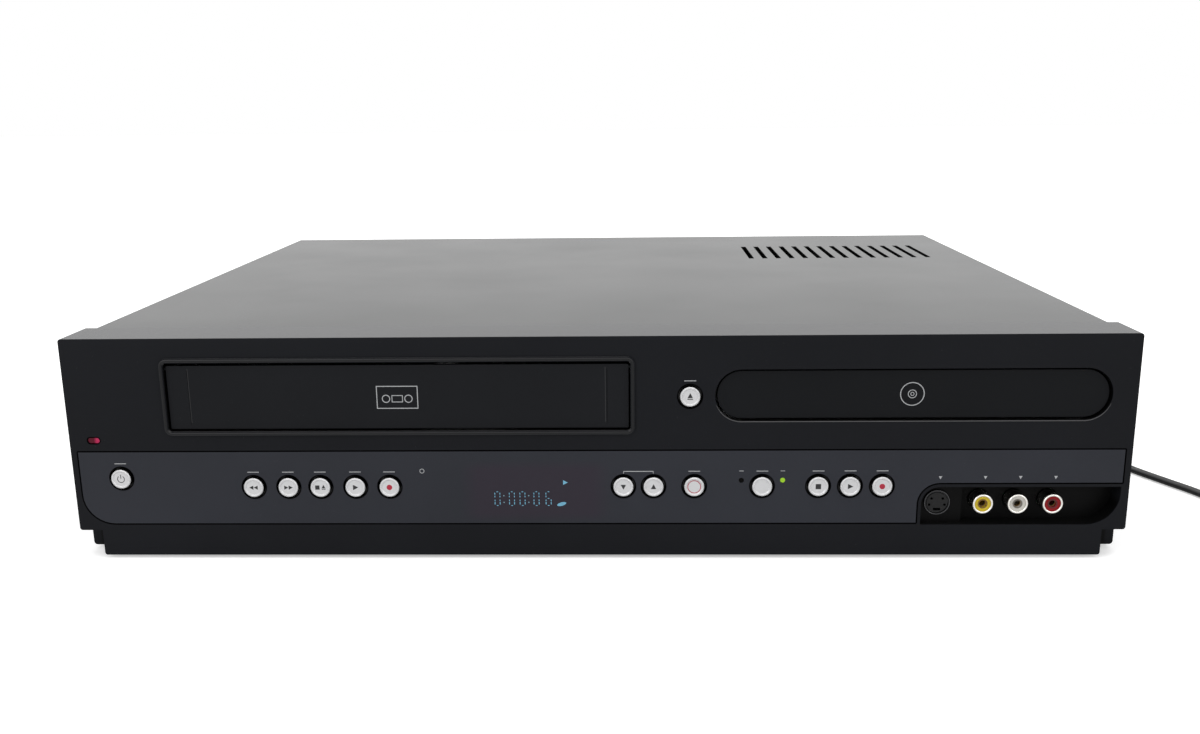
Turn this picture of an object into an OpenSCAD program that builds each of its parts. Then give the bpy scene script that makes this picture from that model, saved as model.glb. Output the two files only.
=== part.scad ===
// Video cassette and disc combo player: front panel, cabinet, tape deck, disc drive, boards and cord.
// Millimetres. X to the right seen from the front, Y to the back, Z up; the feet stand on Z = 0.
// Inside the modules a depth is measured back from the front face, a height up from the front panel's
// lower edge.

/* [Cabinet] */
// Width of the front panel
fascia_w = 435; // [425:1:450]
// Height of the front panel
fascia_h = 93.3; // [92:0.1:100]
// Wall of the front panel moulding
fascia_wall = 3; // [2.6:0.1:3.2]
// Wall of the front panel's top and side returns
return_wall = 2; // [1.6:0.1:2.4]
// Depth of the front panel's top and side returns
fascia_return = 23; // [20:1:28]
// Depth from the front face to the rear panel
cabinet_d = 340; // [335:1:380]
// Thickness of the steel sheet
sheet_t = 0.8; // [0.6:0.1:1]
// Height of the front panel's lower edge above the table
foot_clear = 1.5; // [1:0.5:4]
// Width of the base strip below the notched corners
strip_w = 416; // [400:1:418]
// Height of the base strip
strip_h = 11.1; // [8:0.1:11.5]
// Depth of the notched corners
notch_d = 10.5; // [6:0.5:14]
// Radius of a foot
foot_r = 11; // [8:0.5:13]

/* [Control panel] */
// Lower edge of the control panel
panel_low = 13.6; // [13:0.1:13.8]
// Upper edge of the control panel
panel_high = 45.8; // [44:0.1:47]
// Strip of front panel left at each end of the control panel
panel_side = 2.5; // [2:0.1:4]
// Radius of the control panel's lower corners
panel_r = 13; // [8:0.5:14]
// Thickness of the control panel
panel_t = 1.5; // [1:0.1:1.8]
// Groove round the control panel
groove = 0.4; // [0.3:0.05:0.6]

/* [Push buttons] */
// Radius of a button's face
button_r = 4.05; // [3.6:0.05:4.3]
// Radius of the well round a button
well_r = 4.95; // [4.7:0.05:5.3]
// How far a button stands proud
button_proud = 1.2; // [0.6:0.1:2]
// Travel of a button
button_travel = 0.8; // [0.4:0.1:1]
// Height of the row of buttons
button_row = 30.1; // [28:0.1:31]
// Height of the power button
power_row = 33.9; // [30:0.1:35]
// Distance of the power button from the panel's left end
power_in = 17.7; // [16:0.1:24]
// Height of the tray button
tray_button_z = 68.3; // [64:0.1:72]

/* [Cassette door] */
// Share of the front's spare width that lies left of the cassette opening
bay_share = 0.4884; // [0.47:0.0001:0.5]
// Width of the cassette opening
bay_w = 190.2; // [189.8:0.1:192]
// Lower edge of the cassette opening
bay_low = 54.1; // [53:0.1:55]
// Upper edge of the cassette opening
bay_high = 83.2; // [83:0.1:84.5]
// Clear gap at each end of the door
door_gap = 0.85; // [0.5:0.05:1.2]
// Thickness of the door
door_t = 2.2; // [2:0.1:2.6]
// How far the door lies behind the front face
door_recess = 0.8; // [0.5:0.1:1.2]
// Width of the raised bead round the opening
bead_w = 1.7; // [1:0.1:2]
// Height of the raised bead
bead_h = 0.8; // [0.4:0.1:1.1]
// Radius of the door's hinge pins
hinge_pin_r = 0.75; // [0.6:0.05:0.8]
// Running clearance of pins and shafts
running = 0.05; // [0.03:0.01:0.08]

/* [Disc tray] */
// Share of the front's spare width that lies right of the tray
tray_share = 0.116; // [0.1:0.0001:0.13]
// Height of the middle of the tray's front
tray_z = 68.55; // [68:0.1:69]
// Width of the tray's opening
slot_w = 158.6; // [157:0.1:160]
// Height of the tray's opening
slot_h = 21.6; // [21:0.1:23]
// Clear gap round the tray's front
tray_gap = 1; // [0.6:0.05:1.2]
// Width of the tray behind its front
tray_w = 132; // [130:0.5:133]
// How far the tray slides out
tray_travel = 140; // [120:1:140]
// Diameter of a disc
disc_d = 120; // [119:0.5:120]
// Module of the rack and the loading gear
gear_m = 1; // [0.9:0.05:1.1]
// Teeth of the loading gear
gear_teeth = 14; // [12:1:16]

/* [Jacks] */
// Height of the front jacks
jack_z = 21.8; // [21:0.1:22.5]
// Distance of the first phono jack from the panel's right end
jack_in = 55.8; // [54:0.1:57]
// Distance between neighbouring phono jacks
jack_pitch = 14.2; // [13:0.1:15]
// Radius of a phono jack's shell
jack_r = 4.15; // [4:0.05:4.2]
// Depth of the jack recess
jack_recess = 8; // [7:0.5:9]
// How far the aerial connectors stand out of the rear panel
rf_proud = 8.8; // [7:0.1:10]
// Radius of an aerial connector's thread
rf_r = 4.75; // [4.5:0.05:4.8]

/* [Tape deck] */
// Distance between the two reel tables
reel_pitch = 92; // [90:0.5:94]
// Diameter of the head drum
drum_d = 62; // [60:0.5:64]
// Travel of the cassette carriage
carriage_travel = 45; // [30:1:46]

/* [Cord] */
// Width of the flat cord
cord_w = 5.4; // [5:0.1:6]

/* [Hidden] */

$fn = 48;
black = [0.07, 0.07, 0.08];
dark = [0.13, 0.13, 0.14];
smoke = [0.2, 0.2, 0.21];
silver = [0.83, 0.83, 0.84];
steel = [0.68, 0.69, 0.7];
board_green = [0.1, 0.35, 0.2];

// Seat gap between pieces that face each other without touching, and the overrun of a cut
seat = 0.3;
cut = 1;

overall_d = button_proud + cabinet_d + rf_proud;
front_y = button_proud - overall_d / 2;
rear_y = front_y + cabinet_d;
half_w = fascia_w / 2;

panel_half = half_w - panel_side;
// Width that neither the cassette opening nor the tray takes
spare_w = fascia_w - bay_w - slot_w;
door_x = -half_w + bay_share * spare_w + bay_w / 2;
tray_x = half_w - tray_share * spare_w - slot_w / 2;
jack_x = panel_half - jack_in;
door_w = bay_w - 2 * door_gap;
door_low = bay_low + 1;
door_high = bay_high - 1.5;
hinge_z = door_high - door_t / 2 - 0.1;
hinge_d = door_recess + door_t / 2;
collar_t = 2;
bay_collar_d = 12;
slot_collar_d = 9;

// A slab in front view: X and height are drawn true, from depth d0 back to depth d1
module slab(d0, d1) {
    translate([0, front_y + d1, foot_clear])
        rotate([90, 0, 0])
            linear_extrude(d1 - d0)
                children();
}

// Turns a shape that is drawn about the Z axis to point backwards from depth d at x, z
module facing(x, z, d = 0) {
    translate([x, front_y + d, foot_clear + z])
        rotate([-90, 0, 0])
            children();
}

// Places a shape drawn about the Z axis upright at x, depth d and height z
module upright(x, d, z) {
    translate([x, front_y + d, foot_clear + z])
        children();
}

// A box from x0 to x1, depth d0 to d1 and height z0 to z1
module block(x0, x1, d0, d1, z0, z1) {
    upright(x0, d0, z0)
        cube([x1 - x0, d1 - d0, z1 - z0]);
}

// A flat rectangle with a radius of its own at each corner, in the order lower left, lower right,
// upper right, upper left
module cornered(x0, z0, x1, z1, r) {
    spots = [[x0, z0, 1, 1], [x1, z0, -1, 1], [x1, z1, -1, -1], [x0, z1, 1, -1]];
    difference() {
        translate([x0, z0])
            square([x1 - x0, z1 - z0]);
        for (i = [0:3])
            if (r[i] > 0)
                translate([spots[i][0] + spots[i][2] * r[i] / 2, spots[i][1] + spots[i][3] * r[i] / 2])
                    square([r[i], r[i]], center = true);
    }
    for (i = [0:3])
        if (r[i] > 0)
            translate([spots[i][0] + spots[i][2] * r[i], spots[i][1] + spots[i][3] * r[i]])
                intersection() {
                    circle(r[i]);
                    translate([-spots[i][2] * r[i] / 2, -spots[i][3] * r[i] / 2])
                        square([r[i], r[i]], center = true);
                }
}

module rounded(x0, z0, x1, z1, r) {
    cornered(x0, z0, x1, z1, [r, r, r, r]);
}

// A flat slot with full round ends
module stadium(x, z, w, h) {
    translate([x - (w - h) / 2, z - h / 2])
        square([w - h, h]);
    for (side = [-1, 1])
        translate([x + side * (w - h) / 2, z])
            circle(h / 2);
}

// Push buttons: x and height
// The row is five groups: power button, tape buttons, display, disc buttons and jack recess. What
// they leave free is shared out between them.
flange_r = well_r + 0.7;
recess_w = 81.3;
tape_w = 56.7;
display_w = 44;
disc_w = 105.8;
row_spare = 2 * panel_half - power_in - tape_w - display_w - disc_w - recess_w - 5 * flange_r;
power_x = -panel_half + power_in;
tape_x = power_x + 2 * flange_r + 0.4582 * row_spare;
display_x = tape_x + tape_w + flange_r + 0.3486 * row_spare;
disc_x = display_x + display_w + flange_r + 0.0826 * row_spare;
button_x = tray_x - slot_w / 2 - 6.5 - 0.1056 * (tray_x - door_x - (slot_w + bay_w) / 2);
BUTTONS = [
    [power_x, power_row], [tape_x, button_row], [tape_x + 14.5, button_row],
    [tape_x + 27.9, button_row], [tape_x + 42.5, button_row], [tape_x + tape_w, button_row],
    [button_x, tray_button_z], [disc_x, button_row], [disc_x + 12.4, button_row],
    [disc_x + 29.1, button_row], [disc_x + 56.9, button_row], [disc_x + 79.8, button_row],
    [disc_x + 92.8, button_row], [disc_x + disc_w, button_row]
];
TRAY_BUTTON = 6;
LAMPS = [[disc_x + 48.4, 32.6], [disc_x + 65.3, 32.6]];
lamp_r = 1;
power_lamp_x = -half_w + 10.2;
power_lamp_z = 50.4;
power_lamp_w = 4.9;
power_lamp_h = 2.3;
flange_t = 1.2;
plunger_r = 1.5;
plunger_l = 2.4;
switch_tip_d = fascia_wall + seat + flange_t + plunger_l + button_travel + 0.2;
switch_h = 4;
board_d = switch_tip_d + switch_h;
board_t = 1.6;

// ---- Front ----

jack_box = [panel_half - recess_w, panel_low - 0.4, panel_half - 0.7, 29.5];
jack_box_r = [0, 13.2, 0, 7.4];
rim_w = 1.3;
display_box = [display_x, 19, display_x + display_w, 38];
display_d = fascia_wall;

// Outline of the control panel, shrunk by s
module panel_outline(s) {
    difference() {
        cornered(-panel_half + s, panel_low + s, panel_half - s, panel_high - s,
                 [panel_r - s, panel_r - s, 0, 0]);
        cornered(jack_box[0] - rim_w - s, panel_low - cut, panel_half + cut, jack_box[3] + rim_w + s,
                 [0, 0, 0, jack_box_r[3] + rim_w + s]);
    }
}

module button_wells() {
    for (b = BUTTONS)
        translate(b)
            circle(well_r);
}

module jack_row(r) {
    for (i = [0:2])
        translate([jack_x + i * jack_pitch, jack_z])
            circle(r);
}

svideo_x = jack_x - 18.2;
svideo_r = 5.3;
svideo_d = 3;
svideo_plate_w = 17.5;
recess_wall = 1.5;

module front_panel() {
    inner_low = fascia_wall;
    notch_x = strip_w / 2;
    color(black)
    difference() {
        union() {
            // Shell: face, returns and notched corners
            difference() {
                union() {
                    slab(0, fascia_return)
                        rounded(-half_w, strip_h, half_w, fascia_h, 1.2);
                    slab(0, fascia_return)
                        rounded(-notch_x, 0, notch_x, strip_h + 10, 1);
                    slab(notch_d, fascia_return)
                        rounded(-half_w, 0.4, half_w, strip_h + 10, 1.5);
                }
                slab(fascia_wall, fascia_return + cut)
                    difference() {
                        cornered(-half_w + return_wall, inner_low, half_w - return_wall,
                                 fascia_h - return_wall, [0, 0, 1, 1]);
                        for (side = [-1, 1])
                            translate([side * (notch_x + half_w) / 2, strip_h / 2 + fascia_wall / 2])
                                square([half_w - notch_x + 2 * fascia_wall, strip_h + fascia_wall],
                                       center = true);
                    }
                slab(notch_d + fascia_wall, fascia_return + cut)
                    cornered(-half_w + return_wall, inner_low, half_w - return_wall, strip_h + 10,
                             [0, 0, 0, 0]);
            }
            // Raised bead and collar of the cassette opening
            slab(-bead_h, fascia_wall)
                rounded(door_x - bay_w / 2 - bead_w, bay_low - bead_w, door_x + bay_w / 2 + bead_w,
                        bay_high + bead_w, 3);
            slab(fascia_wall / 2, bay_collar_d)
                rounded(door_x - bay_w / 2 - collar_t, bay_low - collar_t, door_x + bay_w / 2 + collar_t,
                        bay_high + collar_t, 1);
            // Collar of the tray's slot
            slab(fascia_wall / 2, slot_collar_d)
                stadium(tray_x, tray_z, slot_w + 2 * collar_t, slot_h + 2 * collar_t);
            // Tub of the jack recess
            slab(fascia_wall / 2, jack_recess + recess_wall)
                cornered(jack_box[0] - recess_wall, jack_box[1] - recess_wall, jack_box[2] + recess_wall / 2,
                         jack_box[3] + recess_wall, [0, jack_box_r[1], 0, jack_box_r[3]]);
        }
        slab(-bead_h - cut, bay_collar_d + cut)
            rounded(door_x - bay_w / 2, bay_low, door_x + bay_w / 2, bay_high, 0.6);
        // Blind bearings of the door's hinge pins
        for (side = [-1, 1])
            translate([door_x + side * bay_w / 2, front_y + hinge_d, foot_clear + hinge_z])
                rotate([0, 90, 0])
                    cylinder(r = hinge_pin_r + running, h = 2 * (collar_t - 0.4), center = true);
        slab(-cut, slot_collar_d + cut)
            stadium(tray_x, tray_z, slot_w, slot_h);
        // Pocket of the control panel, without the rim of the jack recess
        slab(-cut, panel_t)
            panel_outline(0);
        slab(-cut, fascia_wall + cut)
            button_wells();
        slab(-cut, jack_recess)
            difference() {
                cornered(jack_box[0], jack_box[1], jack_box[2], jack_box[3], jack_box_r);
                translate([jack_box[0] - cut, jack_box[1] - cut])
                    square([svideo_plate_w + cut, jack_box[3] - jack_box[1] + 2 * cut]);
            }
        slab(-cut, svideo_d + 1)
            intersection() {
                cornered(jack_box[0], jack_box[1], jack_box[2], jack_box[3], jack_box_r);
                translate([jack_box[0] - cut, jack_box[1] - cut])
                    square([svideo_plate_w + 2 * cut, jack_box[3] - jack_box[1] + 2 * cut]);
            }
        slab(-cut, jack_recess + recess_wall + cut)
            jack_row(jack_r + seat);
        slab(-cut, jack_recess + recess_wall + cut)
            translate([svideo_x, jack_z])
                circle(svideo_r + 0.1);
        slab(-cut, fascia_wall + cut)
            translate([display_box[0], display_box[1]])
                square([display_box[2] - display_box[0], display_box[3] - display_box[1]]);
        for (p = LAMPS)
            slab(-cut, fascia_wall + cut)
                translate(p)
                    circle(lamp_r + 0.1);
        slab(-cut, fascia_wall + cut)
            stadium(power_lamp_x, power_lamp_z, power_lamp_w + 0.2, power_lamp_h + 0.2);
    }
}

module control_panel() {
    color(smoke)
    slab(0, panel_t)
        difference() {
            panel_outline(groove);
            button_wells();
            for (p = LAMPS)
                translate(p)
                    circle(lamp_r + 0.1);
        }
}

// The door turns on two pins near its upper edge
module cassette_door() {
    x0 = door_x - door_w / 2;
    x1 = door_x + door_w / 2;
    line_w = 0.4;
    color(black) {
        difference() {
            union() {
                slab(door_recess, door_recess + door_t)
                    rounded(x0, door_low, x1, door_high, 0.6);
                // Stiffening rib along the inner face
                block(x0 + 6, x1 - 6, door_recess + door_t - 0.2, door_recess + door_t + 1.5,
                      door_low + 8, door_low + 9.5);
            }
            for (x = [x0 + 8.6, x1 - 8.7])
                slab(door_recess - cut, door_recess + 0.25)
                    translate([x - line_w / 2, door_low + 2])
                        square([line_w, door_high - door_low - 4]);
        }
        for (side = [-1, 1])
            translate([door_x + side * (door_w / 2 + (door_gap + collar_t - 0.8) / 2 - 0.25),
                       front_y + hinge_d, foot_clear + hinge_z])
                rotate([0, 90, 0])
                    cylinder(r = hinge_pin_r, h = door_gap + collar_t - 0.3, center = true);
    }
}

// A button: dished cap, skirt through the well, flange behind the wall and plunger to its switch
module push_button(p) {
    dish = 0.35;
    rim = 0.7;
    back = fascia_wall + seat;
    color(silver)
    facing(p[0], p[1], -button_proud)
        rotate_extrude($fn = 64)
            polygon([
                [0, dish], [button_r - rim - 0.4, dish], [button_r - rim, 0], [button_r - 0.3, 0],
                [button_r, 0.3], [button_r, button_proud + back], [flange_r, button_proud + back],
                [flange_r, button_proud + back + flange_t], [plunger_r, button_proud + back + flange_t],
                [plunger_r, button_proud + back + flange_t + plunger_l],
                [0, button_proud + back + flange_t + plunger_l]
            ]);
}

module power_lamp() {
    color([0.6, 0.1, 0.2])
    slab(0.3, fascia_wall + 1.5)
        stadium(power_lamp_x, power_lamp_z, power_lamp_w, power_lamp_h);
}

// A lamp is a lens in its hole with its body standing on the key board
module lamp(p, c) {
    color(c) {
        facing(p[0], p[1], 0.1)
            cylinder(r = lamp_r, h = board_d - 0.1, $fn = 32);
        facing(p[0], p[1], board_d - 5)
            cylinder(r = lamp_r + 0.5, h = 5, $fn = 32);
    }
}

// Glass tube of the display on its header
module display_tube() {
    color([0.25, 0.3, 0.33]) {
        block(display_box[0] + 1, display_box[2] - 1, panel_t, panel_t + 6, display_box[1] + 0.5,
              display_box[3] - 0.5);
        block(display_box[0] + 3, display_box[2] - 3, panel_t + 6, board_d, display_box[1] + 2,
              display_box[1] + 5);
    }
}

// Printed board behind the control panel, with a tab up to the tray button
key_x0 = -panel_half + 6;
key_x1 = jack_box[0] - 5;
module key_board() {
    color(board_green)
    difference() {
        union() {
            block(key_x0, key_x1, board_d, board_d + board_t, 15, 46);
            block(BUTTONS[TRAY_BUTTON][0] - 8, BUTTONS[TRAY_BUTTON][0] + 6, board_d, board_d + board_t, 45,
                  tray_button_z + 7);
        }
        for (x = [key_x0 + 30, display_x - 4, disc_x + 18.4, key_x1 - 6])
            facing(x, 19, board_d - cut)
                cylinder(r = 1.6, h = board_t + 2 * cut);
    }
}

module key_switches() {
    color(dark)
    for (b = BUTTONS) {
        facing(b[0], b[1], switch_tip_d)
            cylinder(r = 1.7, h = 1.2, $fn = 24);
        block(b[0] - 3, b[0] + 3, switch_tip_d + 1, board_d, b[1] - 3, b[1] + 3);
    }
}

module svideo_socket() {
    key_w = 3;
    pins = [[-3.15, 1], [3.15, 1], [-2.3, -1.7], [2.3, -1.7]];
    color(dark)
    facing(svideo_x, jack_z, svideo_d)
        difference() {
            cylinder(r = svideo_r, h = jack_recess + 6 - svideo_d);
            translate([0, 0, -cut])
                difference() {
                    cylinder(r = svideo_r - 0.6, h = cut + 4);
                    cylinder(r = svideo_r - 1.05, h = cut + 4);
                }
            for (p = pins)
                translate([p[0], p[1], -cut])
                    cylinder(r = 0.55, h = cut + 4, $fn = 20);
            translate([-key_w / 2, 2.4, -cut])
                cube([key_w, 1.1, cut + 4]);
        }
}

jack_tip_d = 1;
// A connector's neck in its hole is this much thinner than its barrel
jack_neck = 0.2;
insert_r = jack_r - 0.7;
module jack_shells() {
    color(steel)
    for (i = [0:2])
        facing(jack_x + i * jack_pitch, jack_z, jack_tip_d)
            difference() {
                union() {
                    cylinder(r = jack_r, h = jack_recess - jack_tip_d);
                    cylinder(r = jack_r - jack_neck, h = jack_recess + 6 - jack_tip_d);
                }
                translate([0, 0, -cut])
                    cylinder(r = insert_r, h = jack_recess + 3);
            }
}

module jack_insert(i, c) {
    color(c)
    facing(jack_x + i * jack_pitch, jack_z, jack_tip_d + 0.4)
        difference() {
            cylinder(r = insert_r, h = jack_recess + 1.6 - jack_tip_d);
            translate([0, 0, -cut])
                cylinder(r = 1.6, h = jack_recess);
        }
}

module jack_board() {
    d0 = jack_recess + 6;
    color(board_green)
    block(svideo_x - 9, jack_x + 2 * jack_pitch + 8, d0, d0 + board_t, jack_z - 8, jack_z + 9);
    color(dark)
    for (i = [0:2])
        block(jack_x + i * jack_pitch - 5.5, jack_x + i * jack_pitch + 5.5, d0 + board_t, d0 + board_t + 3,
              jack_z - 5, jack_z + 6);
}

// ---- Cabinet ----

pan_z = fascia_wall;
pan_top = pan_z + sheet_t;
pan_half = half_w - return_wall;
pan_d0 = notch_d + fascia_wall;
cover_z = fascia_h - return_wall;
rear_d = cabinet_d - sheet_t;
screw_spots = [[60, 14], [250, 14]];

fan_size = 40;
fan_t = 10;
fan_z = 52;

drive_x0 = tray_x - 74;
drive_x1 = tray_x + 74;
drive_d0 = 14;
drive_d1 = 188;
drive_z0 = 47;
drive_z1 = 88.5;
drive_wall = 1.2;

board_z = 12;
board_gap = 17;
power_w = 143;
power_x1 = pan_half - 10.5;
power_box = [power_x1 - power_w, power_x1, 205, rear_d - 19.2];
main_box = [-pan_half + 10.5, power_box[0] - board_gap, 250, rear_d - 11.2];
main_l = main_box[3] - main_box[2];
main_w = main_box[1] - main_box[0];
power_l = power_box[3] - power_box[2];
fan_x = power_box[0] + 56;
deck_half = bay_w / 2 + 2.9;
deck_t = 1.2;
deck_d0 = 30;
deck_d1 = 236;
deck_z = 20;

// Rear jacks: phono jacks by x and height, aerial connectors by height
av_x = main_box[1] - 123;
PHONO = [
    for (x = [0, 14, 28], z = [30, 46]) [av_x + x, z],
    for (x = [54, 68, 82]) [av_x + x, 30],
    [av_x + 54, 46]
];
digital_x = av_x + 105;
aerial_x = main_box[0] + 45;
tuner_setback = 27.2;
AERIAL = [30, 54];
bushing_x = pan_half - 25.5;
bushing_z = 24;
bushing_r = 5.5;

// A steel sheet bent over the top and both sides, with louvres at the back
module top_cover() {
    louvre_w = 3;
    louvre_l = 34;
    out = pan_half + sheet_t;
    color([0.16, 0.16, 0.17])
    difference() {
        slab(fascia_return, cabinet_d)
            difference() {
                cornered(-out, 1, out, cover_z + sheet_t, [0, 0, 2, 2]);
                cornered(-pan_half, 1 - cut, pan_half, cover_z, [0, 0, 1.2, 1.2]);
            }
        for (side = [-1, 1], i = [0:11])
            block(side * pan_half - 3, side * pan_half + 3, 170 + 8 * i, 170 + 8 * i + louvre_w, 30,
                  30 + louvre_l);
        for (i = [0:13])
            block(power_box[0] + 23 + 8 * i, power_box[0] + 23 + 8 * i + louvre_w, 230,
                  230 + 1.6 * louvre_l, cover_z - cut, cover_z + 2);
        for (side = [-1, 1], s = screw_spots)
            upright(side * pan_half, s[0], s[1])
                rotate([0, 90, 0])
                    cylinder(r = 1.7, h = 4, center = true);
    }
}

module fan_grille() {
    intersection() {
        translate([fan_x, fan_z])
            circle(fan_size / 2 - 1);
        for (i = [-4:4])
            translate([fan_x - fan_size, fan_z + i * 4.4 - 1.1])
                square([2 * fan_size, 2.2]);
    }
}

module rear_panel() {
    color([0.3, 0.3, 0.31])
    slab(rear_d, cabinet_d)
        difference() {
            cornered(-pan_half, pan_z, pan_half, cover_z, [0, 0, 1.4, 1.4]);
            fan_grille();
            for (p = PHONO)
                translate(p)
                    circle(jack_r + seat);
            for (z = AERIAL)
                translate([aerial_x, z])
                    circle(rf_r + seat);
            translate([bushing_x, bushing_z])
                circle(bushing_r + 0.1);
            // Window of the digital socket
            translate([digital_x, 25])
                square([15.5, 6.5]);
            for (i = [0:8])
                translate([main_box[0] + 75 + 6 * i, 66])
                    square([3, 16]);
        }
}

// Bottom pan with turned-up sides, board posts, drive posts and cooling slots
module base_chassis() {
    post_r = 3;
    color(steel)
    difference() {
        union() {
            block(-pan_half, pan_half, pan_d0, rear_d, pan_z, pan_top);
            for (side = [-1, 1])
                block(side < 0 ? -pan_half : pan_half - sheet_t, side < 0 ? sheet_t - pan_half : pan_half,
                      fascia_return, rear_d, pan_z, 24);
            for (b = [main_box, power_box], x = [b[0] + 6, b[1] - 6], d = [b[2] + 6, b[3] - 6])
                upright(x, d, pan_top - 0.4)
                    cylinder(r = post_r, h = board_z - pan_top + 0.4);
            for (x = [drive_x0 + 8, drive_x1 - 8], d = [drive_d0 + 14, drive_d1 - 12])
                upright(x, d, pan_top - 0.4)
                    cylinder(r = 4, h = drive_z0 - pan_top + 0.4);
        }
        for (i = [0:9])
            block(power_box[0] + 18 + 10 * i, power_box[0] + 22 + 10 * i, 225, 300, pan_z - cut,
                  pan_top + cut);
        for (side = [-1, 1], s = screw_spots)
            upright(side * pan_half, s[0], s[1])
                rotate([0, 90, 0])
                    cylinder(r = 1.3, h = 4, center = true);
    }
}

module feet() {
    top_r = foot_r - 1.2;
    color([0.1, 0.1, 0.1])
    for (side = [-1, 1], d = [46, cabinet_d - 40])
        translate([side * (half_w - 40), front_y + d, 0])
            rotate_extrude()
                polygon([[0, 0.6], [3, 0.6], [3, 0], [top_r, 0], [foot_r, 0.8],
                         [foot_r, foot_clear + pan_z], [0, foot_clear + pan_z]]);
}

module cover_screws() {
    color(steel)
    for (side = [-1, 1], s = screw_spots)
        upright(side * (pan_half + sheet_t), s[0], s[1])
            rotate([0, side * 90, 0])
                difference() {
                    union() {
                        cylinder(r = 3.2, h = 1.2);
                        translate([0, 0, -6])
                            cylinder(r = 1.25, h = 6.5);
                    }
                    for (a = [0, 90])
                        rotate(a)
                            translate([-2, -0.4, 0.5])
                                cube([4, 0.8, 2]);
                }
}

// ---- Boards, jacks and fan ----

module main_board() {
    // Place as shares of the board's width and depth, then the chip's own width and depth
    chips = [[0.26, 0.385, 26, 26], [0.44, 0.32, 18, 12], [0.7, 0.51, 14, 20]];
    color(board_green)
        block(main_box[0], main_box[1], main_box[2], main_box[3], board_z, board_z + board_t);
    color(dark)
    for (c = chips) {
        x = main_box[0] + c[0] * main_w;
        d = main_box[2] + c[1] * main_l;
        block(x, x + c[2], d, d + c[3], board_z + board_t, board_z + board_t + 2.5);
    }
    color(dark)
    for (c = [[0.056, 4], [0.104, 4], [0.384, 5], [0.592, 3.2], [0.624, 3.2], [0.656, 3.2],
              [0.816, 5], [0.872, 4]])
        upright(main_box[0] + c[0] * main_w, main_box[2] + 9, board_z + board_t)
            cylinder(r = c[1], h = 2.6 * c[1]);
    // Plug strips for the wiring to the deck, the drive and the front
    color([0.9, 0.88, 0.8])
    for (c = [[0.144, 22], [0.448, 30], [0.704, 18]]) {
        x = main_box[0] + c[0] * main_w;
        block(x, x + c[1], main_box[2] + 5, main_box[2] + 11, board_z + board_t, board_z + board_t + 8);
    }
}

// Power board with its transformer, reservoir capacitors and heat sink
module power_board() {
    z = board_z + board_t;
    x0 = power_box[0];
    coil_x = x0 + 58;
    coil_d = power_box[2] + 0.304 * power_l;
    sink_d = power_box[2] + 0.4957 * power_l;
    color([0.65, 0.5, 0.3])
        block(power_box[0], power_box[1], power_box[2], power_box[3], board_z, z);
    color([0.75, 0.65, 0.2]) {
        block(coil_x, coil_x + 32, coil_d, coil_d + 28, z, z + 4);
        block(coil_x + 4, coil_x + 28, coil_d, coil_d + 28, z + 4, z + 24);
        block(coil_x, coil_x + 32, coil_d + 4, coil_d + 24, z + 8, z + 20);
    }
    color(dark)
    for (c = [[28, 0.304, 9, 32], [118, 0.696, 6, 20], [42, 0.174, 5, 16], [103, 0.174, 5, 16]])
        upright(x0 + c[0], power_box[2] + c[1] * power_l, z)
            cylinder(r = c[2], h = c[3]);
    // Mains filter choke, fuse between its two clips and the plug strip for the boards
    color([0.55, 0.3, 0.12])
    upright(x0 + 128, power_box[2] + 0.45 * power_l, z)
        difference() {
            cylinder(r = 9, h = 12);
            translate([0, 0, 4])
                cylinder(r = 3.4, h = 9);
        }
    color([0.8, 0.8, 0.78]) {
        facing(x0 + 132, z + 5, power_box[2] + 10)
            cylinder(r = 2.6, h = 20);
        for (d = [11, 24])
            block(x0 + 129, x0 + 135, power_box[2] + d, power_box[2] + d + 5, z, z + 3.6);
        block(x0 + 58, x0 + 84, power_box[2] + 5, power_box[2] + 11, z, z + 8);
    }
    color(steel) {
        block(x0 + 18, x0 + 48, sink_d, sink_d + 2, z, z + 30);
        for (i = [0:5])
            block(x0 + 20 + 5 * i, x0 + 21.2 + 5 * i, sink_d + 2, sink_d + 12, z, z + 30);
    }
}

module fan_frame() {
    hub_r = 10;
    strut = 3;
    color(dark) {
        difference() {
            slab(rear_d - fan_t, rear_d)
                rounded(fan_x - fan_size / 2, fan_z - fan_size / 2, fan_x + fan_size / 2,
                        fan_z + fan_size / 2, 3);
            facing(fan_x, fan_z, rear_d - fan_t - cut)
                cylinder(r = fan_size / 2 - 1, h = fan_t + 2 * cut);
        }
        slab(rear_d - fan_t, rear_d - fan_t + 2)
            difference() {
                union() {
                    translate([fan_x, fan_z])
                        circle(hub_r);
                    for (a = [0, 120, 240])
                        translate([fan_x, fan_z])
                            rotate(a)
                                translate([0, -strut / 2])
                                    square([fan_size / 2 - 0.5, strut]);
                }
                translate([fan_x, fan_z])
                    circle(1.5 + running);
            }
    }
}

// Hub with seven slanted blades, on a shaft in the frame's hub
module fan_rotor() {
    hub_r = 9.5;
    blade_r = fan_size / 2 - 2;
    color([0.2, 0.2, 0.22])
    facing(fan_x, fan_z, rear_d - fan_t + 2.4) {
        intersection() {
            union() {
                cylinder(r = hub_r, h = 6.6);
                for (i = [0:6])
                    rotate(i * 360 / 7)
                        translate([hub_r - 1.5, 0, 3.3])
                            rotate([38, 0, 0])
                                translate([0, -4, -0.5])
                                    cube([blade_r, 8, 1]);
            }
            cylinder(r = blade_r, h = 6.6);
        }
        translate([0, 0, -2.4])
            cylinder(r = 1.5, h = 3);
    }
}

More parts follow.
